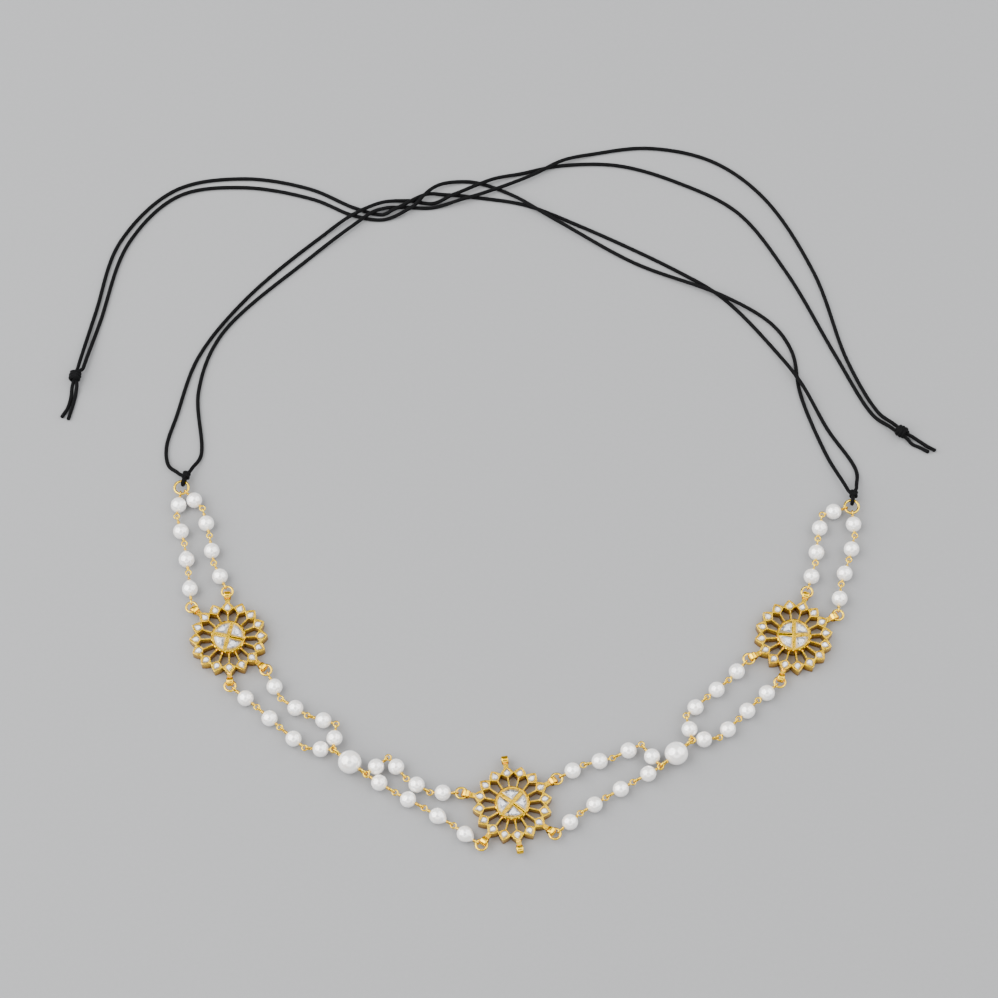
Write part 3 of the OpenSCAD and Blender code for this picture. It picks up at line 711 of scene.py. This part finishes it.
def gold(name, colour, painted_recess_shade, roughness, wear_scale):
    """Polished gold: cloudy tone, uneven casting, fine scratches, and painted shade that darkens it towards
    the bottom.
    """
    m, nodes, links, shader = new_material(name)
    where = coordinates(nodes)
    cloud = noise(nodes, links, where, wear_scale, 3)
    darker = tuple(c * k for c, k in zip(colour, (0.9, 0.84, 0.7)))
    lighter = tuple(min(1, c * k) for c, k in zip(colour, (1.04, 1.1, 2.2)))
    tone = ramp(nodes, links, cloud, [(0.34, darker), (0.5, tuple(colour)), (0.7, lighter)])
    # painted shade: lower down the colour mixes towards the recess colour, fully at the bottom of the piece
    height = nodes.new("ShaderNodeSeparateXYZ")
    links.new(where, height.inputs["Vector"])
    depth = nodes.new("ShaderNodeMapRange")
    set_inputs(depth, {"From Min": SHADE_FULL_BELOW, "From Max": SHADE_NONE_ABOVE})
    links.new(height.outputs["Z"], depth.inputs["Value"])
    mix = add_node(nodes, "ShaderNodeMix", data_type="RGBA")
    links.new(depth.outputs["Result"], mix.inputs["Factor"])
    mix.inputs[MIX_A].default_value = (*painted_recess_shade, 1)
    links.new(tone, mix.inputs[MIX_B])
    links.new(mix.outputs[MIX_RESULT], shader.inputs["Base Color"])
    fine = noise(nodes, links, where, wear_scale * 9, 6)
    rough = ramp(nodes, links, fine, [(0.3, roughness * 0.7), (0.72, roughness * 1.5)])
    links.new(rough, shader.inputs["Roughness"])
    uneven = bump(nodes, links, noise(nodes, links, where, wear_scale * 4, 1), 0.9, 0.00006)
    polish = bump(nodes, links, fine, 0.18, 0.00002)
    links.new(uneven.outputs["Normal"], polish.inputs["Normal"])
    links.new(polish.outputs["Normal"], shader.inputs["Normal"])
    shader.inputs["Metallic"].default_value = 1.0
    return m


def nacre():
    """Pearl: soft cloudy cream and blush under a satin coat."""
    p = settings("jewel_pearl")
    m, nodes, links, shader = new_material("nacre")
    where = coordinates(nodes)
    cloud = noise(nodes, links, where, 260, 2)
    shades = [(0.35, tuple(p.blush)), (0.55, tuple(p.colour)), (0.8, (0.98, 0.97, 0.95))]
    links.new(ramp(nodes, links, cloud, shades), shader.inputs["Base Color"])
    layers = noise(nodes, links, where, 2400, 3)
    links.new(ramp(nodes, links, layers, [(0.3, 0.15), (0.7, 0.22)]), shader.inputs["Roughness"])
    links.new(bump(nodes, links, layers, 0.05, 0.00002).outputs["Normal"], shader.inputs["Normal"])
    set_inputs(shader, {
        "Metallic": 0.28, "IOR": 1.7, "Coat Weight": 0.8, "Coat Roughness": 0.05, "Coat IOR": 1.7,
        "Subsurface Weight": 0.2, "Subsurface Scale": 0.0008, "Subsurface Radius": (1.0, 0.9, 0.8)})
    return m


def foiled_stone():
    """Clear uncut stone, foiled in silver: bright, glassy, with cloudy flaws inside, times the painted
    glint tone of each facet.
    """
    s = settings("jewel_stone")
    m, nodes, links, shader = new_material("foiled_stone")
    flaws = noise(nodes, links, coordinates(nodes), 1500, 4)
    cloudy = ramp(nodes, links, flaws, [(0.3, tuple(c * 0.72 for c in s.colour)), (0.5, tuple(s.colour))])
    # painted glints: each facet's painted tone, multiplied into the stone's colour
    facet_glints = add_node(nodes, "ShaderNodeAttribute", attribute_name="glint_tones")
    mix = add_node(nodes, "ShaderNodeMix", data_type="RGBA", blend_type="MULTIPLY")
    mix.inputs["Factor"].default_value = 1.0
    links.new(cloudy, mix.inputs[MIX_A])
    links.new(facet_glints.outputs["Color"], mix.inputs[MIX_B])
    links.new(mix.outputs[MIX_RESULT], shader.inputs["Base Color"])
    links.new(ramp(nodes, links, flaws, [(0.3, 0.03), (0.8, 0.08)]), shader.inputs["Roughness"])
    set_inputs(shader, {
        "Metallic": 0.25, "IOR": 1.6, "Coat Weight": 0.5, "Coat Roughness": 0.02, "Coat IOR": 1.5})
    return m


def twisted_cord():
    """Matte black cord: fine yarns laid at a slant along its own UV map, with a little fuzz."""
    c = settings("jewel_cord")
    m, nodes, links, shader = new_material("twisted_cord")
    slant = nodes.new("ShaderNodeMapping")
    set_inputs(slant, {"Scale": (16, 6 / c.lay_length * MM, 1), "Rotation": (0, 0, math.radians(38))})
    links.new(coordinates(nodes, "UV"), slant.inputs["Vector"])
    yarn = add_node(nodes, "ShaderNodeTexWave", Scale=1.0, Distortion=1.2, Detail=2.0)
    links.new(slant.outputs["Vector"], yarn.inputs["Vector"])
    shades = [(0.2, tuple(c.colour)), (0.9, tuple(v * 2.5 for v in c.colour))]
    links.new(ramp(nodes, links, yarn.outputs["Fac"], shades), shader.inputs["Base Color"])
    relief = bump(nodes, links, yarn.outputs["Fac"], 0.5, 0.00005)
    links.new(relief.outputs["Normal"], shader.inputs["Normal"])
    set_inputs(shader, {
        "Roughness": 0.6, "Sheen Weight": 0.01, "Sheen Roughness": 0.5, "Specular IOR Level": 0.06})
    return m


def material(name):
    """Each finish is made once, the first time that a piece asks for it."""
    if name in bpy.data.materials:
        return bpy.data.materials[name]
    metal = settings("jewel_metal")
    # painted shade for the saw cut: a near-black gold, the recess colour times 0.12
    painted_cut_shade = tuple(c * 0.12 for c in metal.painted_recess_shade)
    makers = {
        "saw_cut_painted_shade": lambda: gold("saw_cut_painted_shade", painted_cut_shade, painted_cut_shade, 0.5, 240),
        "cast_gold": lambda: gold("cast_gold", metal.medallion_colour, metal.painted_recess_shade, metal.roughness, 240),
        "wire_gold": lambda: gold(
            "wire_gold", metal.wire_colour, metal.wire_colour, metal.roughness * 0.9, 500),
        "nacre": nacre, "foiled_stone": foiled_stone, "twisted_cord": twisted_cord,
    }
    return makers[name]()


# Operators

class JEWEL_OT_camera(bpy.types.Operator):
    """Adds the camera at the photograph's viewing angle"""
    bl_idname = "jewel.camera"
    bl_label = "Camera"

    def execute(self, context):
        data = bpy.data.cameras.new("camera")
        data.lens, data.sensor_width, data.clip_start = CAMERA_LENS, 36, 0.05
        camera = link_new("camera", data)
        camera.location = CAMERA_AT
        camera.rotation_euler = (math.radians(CAMERA_TILT), 0, 0)
        context.scene.camera = camera
        return {"FINISHED"}


class JEWEL_OT_cords(bpy.types.Operator):
    """Lays the four twisted tie cords along their routes"""
    bl_idname = "jewel.cords"
    bl_label = "Tie cords"

    def execute(self, context):
        c = settings("jewel_cord")
        radius, twist = cord_make()
        for name, route in CORD_ROUTES.items():
            line = even_points(eased_route(route), CORD_STEP)
            o = to_metres(tube(name + "_twist", line, radius * 1.02, CORD_SIDES, twist, cap_round=False))
            finish_piece(o, "cord", "twisted_cord", name)
        return {"FINISHED"}


class JEWEL_OT_hitches(bpy.types.Operator):
    """Ties the cords to the end rings, each with a loop through the ring and a wrapped knot"""
    bl_idname = "jewel.hitches"
    bl_label = "Hitches"

    def execute(self, context):
        radius = cord_make()[0]
        wire = settings("jewel_wire")
        z = settings("jewel_pearl").small / 2 / MM
        for side, turn in HITCH_WAYS.items():
            ring = flat(END_RINGS[side], z)
            out = polar(1, turn)
            edge = wire.end_ring / MM / 2
            body = ring + (edge + wire.end_wire / MM / 2 + 2 * GAP + HITCH_STAND + radius) * out
            neck = body - out * HITCH_NECK
            loop = self.round_ring(ring + edge * out, out, (wire.end_wire / MM + 2 * GAP + 2 * radius) / 2)
            loop = [neck + Vector((0, 0, 0.4))] + loop + [neck - Vector((0, 0, 0.4))]
            half = out * HITCH_HALF
            wrap = helix(body - half, body + half, HITCH_WRAP_R, HITCH_TURNS, 1.2, 20)
            over = tilted_loop(body, out, HITCH_OVER_R, HITCH_TILT, 24)
            parts = [
                knot_cord("loop", even_points(loop, KNOT_STEP)),
                knot_cord("wrap", wrap),
                knot_cord("over", over, 0.96, closed=True),
                tube("under", [body - out * 1.1, body, body + out * 1.1], radius * 1.1, 10),
            ]
            for letter, share in (("a", -0.4), ("b", 0.55)):
                start, after = map(Vector, CORD_ROUTES["%s_cord_%s" % (side, letter)][:2])
                lead = self.lead_line(start, (start - after).normalized(), body + share * out)
                parts.append(knot_cord("lead", even_points(lead, KNOT_STEP), cap_round=False))
            make_piece(side + "_hitch_knot", parts, "cord", "twisted_cord", side + "_hitch")
        return {"FINISHED"}

    def round_ring(self, grip, out, radius):
        """Most of a turn round the end ring's wire, open towards the knot."""
        angles = (math.radians(-62 + 304 * i / 24) for i in range(25))
        return [grip + radius * (math.sin(a) * -out + math.cos(a) * UP) for a in angles]

    def lead_line(self, start, way, inner):
        """From where a cord's route starts into the knot."""
        bend = start + way * 0.9
        return eased_route([start, start + way * 0.5, bend.lerp(inner, 0.5), inner], 6)


class JEWEL_OT_end_knots(bpy.types.Operator):
    """Ties each pair of cords together at its end, with two loose tails"""
    bl_idname = "jewel.end_knots"
    bl_label = "End knots"

    def execute(self, context):
        radius, twist = cord_make()
        for side, k in END_KNOTS.items():
            out = polar(1, k["turn"])
            middle = flat(k["at"], KNOT_Z)
            a, b = middle - out * KNOT_HALF, middle + out * KNOT_HALF
            over = tilted_loop(middle, out, KNOT_OVER_R, KNOT_TILT, 30)
            parts = [
                knot_cord("wrap", helix(a, b, KNOT_WRAP_R, KNOT_TURNS, 0.6, 22, 0.38)),
                knot_cord("over", over, closed=True),
                tube("under", helix(a + out * 0.4, b - out * 0.3, 0.75, 2.3, 2.5, 18), radius, 10, twist),
            ]
            for name, tail in zip(k["cords"], k["tails"]):
                before, end = map(Vector, CORD_ROUTES[name][-2:])
                way = (end - before).normalized()
                line = eased_route([end, end + way * 0.6, middle - out * 0.8, *map(Vector, tail)], 8)
                parts.append(knot_cord("tail", even_points(line, KNOT_STEP)))
            make_piece(side + "_end_knot_ties", parts, "cord", "twisted_cord", side + "_end_knot")
        return {"FINISHED"}


class JEWEL_OT_medallions(bpy.types.Operator):
    """Rounds and finishes the three openwork medallions, with the saw cut in one bar of each disc"""
    bl_idname = "jewel.medallions"
    bl_label = "Medallions"

    def execute(self, context):
        for side, m in MEDALLIONS.items():
            name = side + "_medallion"
            o = link_new(name + "_worn", NODES[name].data.copy())
            with editing(o):
                bpy.ops.mesh.remove_doubles(threshold=0.000002)
                bpy.ops.mesh.dissolve_degenerate(threshold=0.000002)
            self.cut_bar(o, m)
            with editing(o, "DESELECT"):
                self.select_rims(o, m)
                bpy.ops.mesh.bevel(offset=settings("jewel_metal").edge_round, segments=2, affect="EDGES")
            bpy.ops.object.shade_smooth_by_angle(angle=math.radians(20))
            for face in o.data.polygons:
                if abs(face.normal.z) > 0.9999:
                    face.use_smooth = False
            finish_piece(o, "medallion_gold", "cast_gold", name)
            self.paint_cut_shade(o, m)
        return {"FINISHED"}

    def select_rims(self, o, m):
        """Selects the sharp level edges on top, inside the bails, which wear round."""
        middle = flat(m["at"]) * MM
        bm = bmesh.from_edit_mesh(o.data)
        bpy.context.tool_settings.mesh_select_mode = (False, True, False)
        for edge in bm.edges:
            a, b = (v.co for v in edge.verts)
            near = max(flat(a - middle).length, flat(b - middle).length) < RIM_R * MM
            level = abs(a.z - b.z) < 1e-6 and a.z > RIM_Z * MM
            sharp = edge.is_manifold and edge.calc_face_angle() > math.radians(60)
            edge.select_set(near and level and sharp)
        bmesh.update_edit_mesh(o.data)

    def cut_bar(self, o, m):
        """Saws along one bar of the disc."""
        way = m["bars"] + m["cut"]
        at = (flat(m["at"], DISC_H) + polar(CUT_R, way)) * MM
        deselect()
        bpy.ops.mesh.primitive_cube_add(size=1, location=at, rotation=(0, 0, math.radians(way)))
        blade = bpy.context.object
        blade.scale = (CUT_LENGTH * MM, CUT_WIDTH * MM, 2 * CUT_DEPTH * MM)
        cut = o.modifiers.new("saw cut", "BOOLEAN")
        cut.operation, cut.object, cut.solver = "DIFFERENCE", blade, "EXACT"
        select_only(o)
        bpy.ops.object.modifier_apply(modifier=cut.name)
        drop_master(blade)
        with editing(o):
            bpy.ops.mesh.remove_doubles(threshold=0.000001)

    def paint_cut_shade(self, o, m):
        """Paints shade on the saw cut's floor and walls, as a near-black gold."""
        o.data.materials.append(material("saw_cut_painted_shade"))
        to_bar = z_turn(-m["bars"] - m["cut"]) @ Matrix.Translation(-flat(m["at"]) * MM)
        for face in o.data.polygons:
            x, y, z = (v / MM for v in to_bar @ face.center)
            along = abs(x - CUT_R) < CUT_LENGTH / 2 + 0.1
            across = abs(y) < CUT_WIDTH / 2 + 0.01
            if along and across and DISC_H - CUT_DEPTH - 0.05 < z < DISC_H - 0.01:
                face.material_index = 1


class JEWEL_OT_petal_stones(bpy.types.Operator):
    """Cuts a pear-shaped stone and sets a varied copy in each petal"""
    bl_idname = "jewel.petal_stones"
    bl_label = "Petal stones"

    def execute(self, context):
        s = settings("jewel_stone")
        dice = random.Random(s.seed)
        master = self.cut_pear(s.round_end / MM, s.point / MM)
        for side, m in MEDALLIONS.items():
            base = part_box(side + "_petal_stones")[0].z / MM
            parts = []
            for i in range(PETALS):
                turn = m["turn"] + i * PETAL_STEP
                place = flat(m["at"], base) + polar(PEAR_SEAT_R, turn)
                tilt = Matrix.Rotation(math.radians(dice.uniform(-4, 4)), 4, "X") @ Matrix.Rotation(
                    math.radians(dice.uniform(-4, 4)), 4, "Y")
                rise = Matrix.Diagonal((1, 1, dice.uniform(0.94, 1.04), 1))
                parts.append(put_copy(
                    master, Matrix.Translation(place) @ z_turn(turn)
                    @ Matrix.Translation((0, 0, 1.0)) @ tilt @ Matrix.Translation((0, 0, -1.0)) @ rise))
            o = make_piece(
                side + "_petal_polki", parts, "polki_stone", "foiled_stone", side + "_petal_stones")
            paint_facet_glints(o, dice)
        drop_master(master)
        return {"FINISHED"}

    def cut_pear(self, r, point):
        """A pear outline raised to a girdle, then rows of facets and a table."""
        deselect()
        bpy.ops.mesh.primitive_circle_add(vertices=12, radius=r, fill_type="NGON")
        o = bpy.context.object
        o.name = "pear"
        start = math.degrees(math.acos(r / point))
        for i, v in enumerate(sorted_round(o.data.vertices)):
            if i == 0:
                v.co = (point, 0, 0)
            else:
                v.co = polar(r, start + (i - 1) * (360 - 2 * start) / 10)
        return raise_facets(o, PEAR_ROWS)


def sorted_round(vertices):
    return sorted(vertices, key=lambda v: math.atan2(v.co.y, v.co.x) % (2 * math.pi))


class JEWEL_OT_quarter_stones(bpy.types.Operator):
    """Cuts the four quarter stones of each disc"""
    bl_idname = "jewel.quarter_stones"
    bl_label = "Quarter stones"

    def execute(self, context):
        dice = random.Random(settings("jewel_stone").seed + 1)
        for side, m in MEDALLIONS.items():
            for i in range(4):
                node = "%s_quarter_stone_%d" % (side, i + 1)
                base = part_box(node)[0].z / MM
                o = self.outline()
                middle = Vector((QUARTER_MIDDLE, QUARTER_MIDDLE, 0)) + Vector(
                    (dice.uniform(-0.25, 0.25), dice.uniform(-0.25, 0.25), 0))
                turn = dice.uniform(4, 12) * dice.choice((-1, 1))
                rows = ((1.26, 1.0, 0), (0.18, 0.76, turn), (0.13, 0.72, -1.4 * turn), (0.03, 0.6, turn))
                raise_facets(o, rows, middle)
                o.data.transform(Matrix.Translation(flat(m["at"], base)) @ z_turn(m["bars"] + 90 * i))
                o = make_piece(
                    "%s_quarter_polki_%d" % (side, i + 1), [o], "polki_stone", "foiled_stone", node)
                paint_facet_glints(o, dice)
        return {"FINISHED"}

    def outline(self):
        """The flat outline of a quarter of the disc, inside its bezel and bars."""
        deselect()
        bpy.ops.mesh.primitive_circle_add(vertices=10, radius=1, fill_type="NGON")
        o = bpy.context.object
        start = math.degrees(math.asin(QUARTER_CORNER / QUARTER_R))
        points = [polar(QUARTER_R, start + k * (90 - 2 * start) / 6) for k in range(7)]
        points += [Vector((QUARTER_CORNER, QUARTER_SIDE, 0)), Vector((QUARTER_CORNER, QUARTER_CORNER, 0)),
                   Vector((QUARTER_SIDE, QUARTER_CORNER, 0))]
        for v, p in zip(sorted_round(o.data.vertices), points):
            v.co = p
        return o


class JEWEL_OT_pearls(bpy.types.Operator):
    """Models a drilled pearl and strings copies on every link"""
    bl_idname = "jewel.pearls"
    bl_label = "Pearls"

    def execute(self, context):
        p = settings("jewel_pearl")
        layout = Layout()
        dice = random.Random(11)
        small = self.drilled(p.small / MM, layout.wire["pin"] + BORE_ROOM, 0)
        drop = self.drilled(p.small / MM, layout.wire["pin"] + BORE_ROOM, p.peak / MM)
        large = self.drilled(p.large / MM, layout.wire["eye_wire"] + BORE_ROOM, 0)
        for name in STRANDS:
            links, drops = layout.strand(name)
            parts = []
            for i, (a, b, _) in enumerate(links):
                start, end = pin_ends(a, b, layout.wire["link_loop"])
                place = frame_along((start + end) / 2, (end - start).normalized())
                spin = Matrix.Rotation(dice.uniform(0, 6.28), 4, "Z")
                squash = Matrix.Diagonal((dice.uniform(0.985, 1.0), dice.uniform(0.985, 1.0), 1, 1))
                parts.append(put_copy(drop if i in drops else small, place @ spin @ squash))
            make_piece(name + "_nacre", parts, "pearl", "nacre", name + "_pearls")
        for side in LARGE_PEARLS:
            a, b = layout.eyes(side)
            o = put_copy(large, frame_along((a + b) / 2, (b - a).normalized()))
            make_piece(side + "_large_nacre", [o], "pearl", "nacre", side + "_large_pearl")
        drop_master(small, drop, large)
        return {"FINISHED"}

    def drilled(self, d, bore, peak):
        """A pearl on +Z whose poles sink into the drilled hole, with a peak below if it is a drop."""
        deselect()
        bpy.ops.mesh.primitive_uv_sphere_add(segments=48, ring_count=32, radius=d / 2)
        o = bpy.context.object
        o.name = "pearl_%g_%g" % (d, peak)
        r, hole = d / 2, bore / 2
        for v in o.data.vertices:
            if peak and v.co.z < 0:
                share = -v.co.z / r
                slim = 1 - DROP_SLIM * share ** 3
                v.co = (v.co.x * slim, v.co.y * slim, v.co.z * (1 + peak / r * share))
            across = math.hypot(v.co.x, v.co.y)
            if across < 1e-4:
                v.co.z *= BORE_SINK
            elif across < hole * BORE_RIM:
                v.co.x *= hole / across
                v.co.y *= hole / across
                v.co.z *= RIM_SINK
        bpy.ops.object.shade_smooth_by_angle(angle=math.radians(50))
        return o


class JEWEL_OT_links(bpy.types.Operator):
    """Bends the wire links of every strand and wraps their necks"""
    bl_idname = "jewel.links"
    bl_label = "Wire links"

    def execute(self, context):
        layout = Layout()
        w = layout.wire
        peak = settings("jewel_pearl").peak / MM
        loop = torus_master("loop", w["link_loop"], w["link_wire"], 28, 12)
        eye = torus_master("eye", w["eye_loop"], w["eye_wire"], 32, 12)
        far = layout.small / 2 + WRAP_ROOM
        for name in STRANDS:
            links, drops = layout.strand(name)
            parts = []
            for i, (a, b, upright) in enumerate(links):
                near = far + (peak if i in drops else 0)
                parts += self.bend(a, b, upright, loop, w["link_loop"], w["pin"], near, far, w["wrap_wire"])
            make_piece(name + "_wire", parts, "link_gold", "wire_gold", name + "_links")
        far = layout.large / 2 + WRAP_ROOM
        for side in LARGE_PEARLS:
            a, b = layout.eyes(side)
            parts = self.bend(
                a, b, True, eye, w["eye_loop"], w["eye_wire"] * 0.9, far, far, w["wrap_wire"] * 1.3)
            make_piece(side + "_large_wire", parts, "link_gold", "wire_gold", side + "_large_link")
        drop_master(loop, eye)
        return {"FINISHED"}

    def bend(self, a, b, upright, loop, loop_d, pin_d, near, far, wrap):
        """One link: two loops, the pin between them and a wrapped neck beside each face of the pearl."""
        start, end = pin_ends(a, b, loop_d)
        along = (end - start).normalized()
        turn = Matrix.Rotation(math.atan2(along.y, along.x), 4, "Z")
        stand = Matrix.Rotation(math.pi / 2, 4, "X")
        middle = (start + end) / 2
        parts = [
            put_copy(loop, Matrix.Translation(a) @ turn @ stand),
            put_copy(loop, Matrix.Translation(b) @ turn @ (stand if upright else Matrix())),
            tube("pin", [start, middle, end], pin_d / 2, 10),
        ]
        for inner, face, level in (
                (start, middle - near * along, False), (end, middle + far * along, not upright)):
            way = (face - inner).normalized()
            begin = inner + way * (
                WRAP_START_LEVEL if level and (face - inner).length > 0.5 else WRAP_START)
            neck = (face - begin).length
            if neck < wrap * 0.6:
                continue
            turns = max(0.9, neck / (wrap * WRAP_PITCH))
            coil = helix(begin, face - way * wrap * 0.3, pin_d / 2 + wrap * WRAP_R, turns)
            parts.append(tube("wrap", coil, wrap / 2, 7))
        return parts


class JEWEL_OT_rings(bpy.types.Operator):
    """Bends the jump rings and the two end rings, each with its cut"""
    bl_idname = "jewel.rings"
    bl_label = "Rings"

    def execute(self, context):
        layout = Layout()
        w = layout.wire
        dice = random.Random(3)
        jump = split_ring_master("jump", w["jump_ring"], w["jump_wire"])
        end = split_ring_master("end", w["end_ring"], w["end_wire"])
        for side, m in MEDALLIONS.items():
            parts = []
            for petal in m["linked"]:
                spin = z_turn(m["turn"] + petal * PETAL_STEP + dice.uniform(70, 110))
                parts.append(put_copy(jump, Matrix.Translation(layout.jump_at(side, petal)) @ spin))
            make_piece(side + "_jump_wire", parts, "link_gold", "wire_gold", side + "_jump_rings")
        for side, at in END_RINGS.items():
            o = put_copy(end, Matrix.Translation(flat(at, layout.chain_z)) @ Matrix.Rotation(2.6, 4, "Z"))
            make_piece(side + "_end_wire", [o], "link_gold", "wire_gold", side + "_end_ring")
        drop_master(jump, end)
        return {"FINISHED"}


class JEWEL_OT_stage(bpy.types.Operator):
    """Adds the pale floor, the surround and the soft lights"""
    bl_idname = "jewel.stage"
    bl_label = "Stage"

    def execute(self, context):
        s = settings("jewel_stage")
        deselect()
        bpy.ops.mesh.primitive_plane_add(size=6, location=(0, 0.4, -0.00005))
        floor = context.object
        floor.name = "floor"
        m, nodes, links, shader = new_material("floor_paper")
        grain = noise(nodes, links, coordinates(nodes), 900, 5)
        shades = [(at, tuple(c * k for c in s.floor)) for at, k in ((0.3, 0.985), (0.7, 1.015))]
        links.new(ramp(nodes, links, grain, shades), shader.inputs["Base Color"])
        shader.inputs["Roughness"].default_value = 0.7
        floor.data.materials.append(m)
        self.surround(context, s.world, s.tent)
        for name, (at, share) in LIGHTS.items():
            self.soft_light(name, at, s.light * share)
        return {"FINISHED"}

    def surround(self, context, strength, tent):
        """A surround that darkens to the horizon, and a tent, bright round the opening for the lens."""
        world = bpy.data.worlds.new("surround")
        context.scene.world = world
        world.use_nodes = True
        nodes, links = world.node_tree.nodes, world.node_tree.links
        where = coordinates(nodes, "Generated")
        split = nodes.new("ShaderNodeSeparateXYZ")
        links.new(where, split.inputs["Vector"])
        lens = add_node(nodes, "ShaderNodeVectorMath", operation="DOT_PRODUCT")
        lens.inputs[1].default_value = TO_LENS
        links.new(where, lens.inputs[0])
        both = nodes.new("ShaderNodeAddShader")
        for i, (glow, factor, stops, power) in enumerate((
                (nodes["Background"], split.outputs["Z"], SURROUND_STOPS, strength),
                (nodes.new("ShaderNodeBackground"), lens.outputs["Value"], TENT_STOPS, tent))):
            links.new(ramp(nodes, links, factor, stops), glow.inputs["Color"])
            glow.inputs["Strength"].default_value = power
            links.new(glow.outputs["Background"], both.inputs[i])
        links.new(both.outputs["Shader"], nodes["World Output"].inputs["Surface"])

    def soft_light(self, name, at, power):
        data = bpy.data.lights.new(name, "AREA")
        data.shape, data.size, data.energy = "DISK", LIGHT_SIZE, power
        o = link_new(name, data)
        o.location = at
        o.rotation_euler = (LIT_PLACE - Vector(at)).to_track_quat("-Z", "Y").to_euler()


class JEWEL_PT_panel(bpy.types.Panel):
    """The jewel's sizes, colours and pieces"""
    bl_idname = "JEWEL_PT_panel"
    bl_label = "Matha patti"
    bl_space_type = "VIEW_3D"
    bl_region_type = "UI"
    bl_category = "Jewel"

    def draw(self, context):
        for name, group in SETTINGS.items():
            box = self.layout.box()
            for key in group.__annotations__:
                box.prop(settings(name), key)
        for operator in OPERATORS:
            self.layout.operator(operator.bl_idname)


OPERATORS = (
    JEWEL_OT_camera, JEWEL_OT_hitches, JEWEL_OT_end_knots, JEWEL_OT_cords, JEWEL_OT_medallions,
    JEWEL_OT_petal_stones, JEWEL_OT_quarter_stones, JEWEL_OT_pearls, JEWEL_OT_links, JEWEL_OT_rings,
    JEWEL_OT_stage,
)


def register():
    for cls in (*SETTINGS.values(), *OPERATORS, JEWEL_PT_panel):
        bpy.utils.register_class(cls)
    for name, group in SETTINGS.items():
        setattr(bpy.types.Scene, name, PointerProperty(type=group))


def unregister():
    for name in SETTINGS:
        delattr(bpy.types.Scene, name)
    for cls in reversed((*SETTINGS.values(), *OPERATORS, JEWEL_PT_panel)):
        bpy.utils.unregister_class(cls)


def main():
    register()
    for operator in OPERATORS:
        group, name = operator.bl_idname.split(".")
        getattr(getattr(bpy.ops, group), name)()


if __name__ == "__main__":
    main()
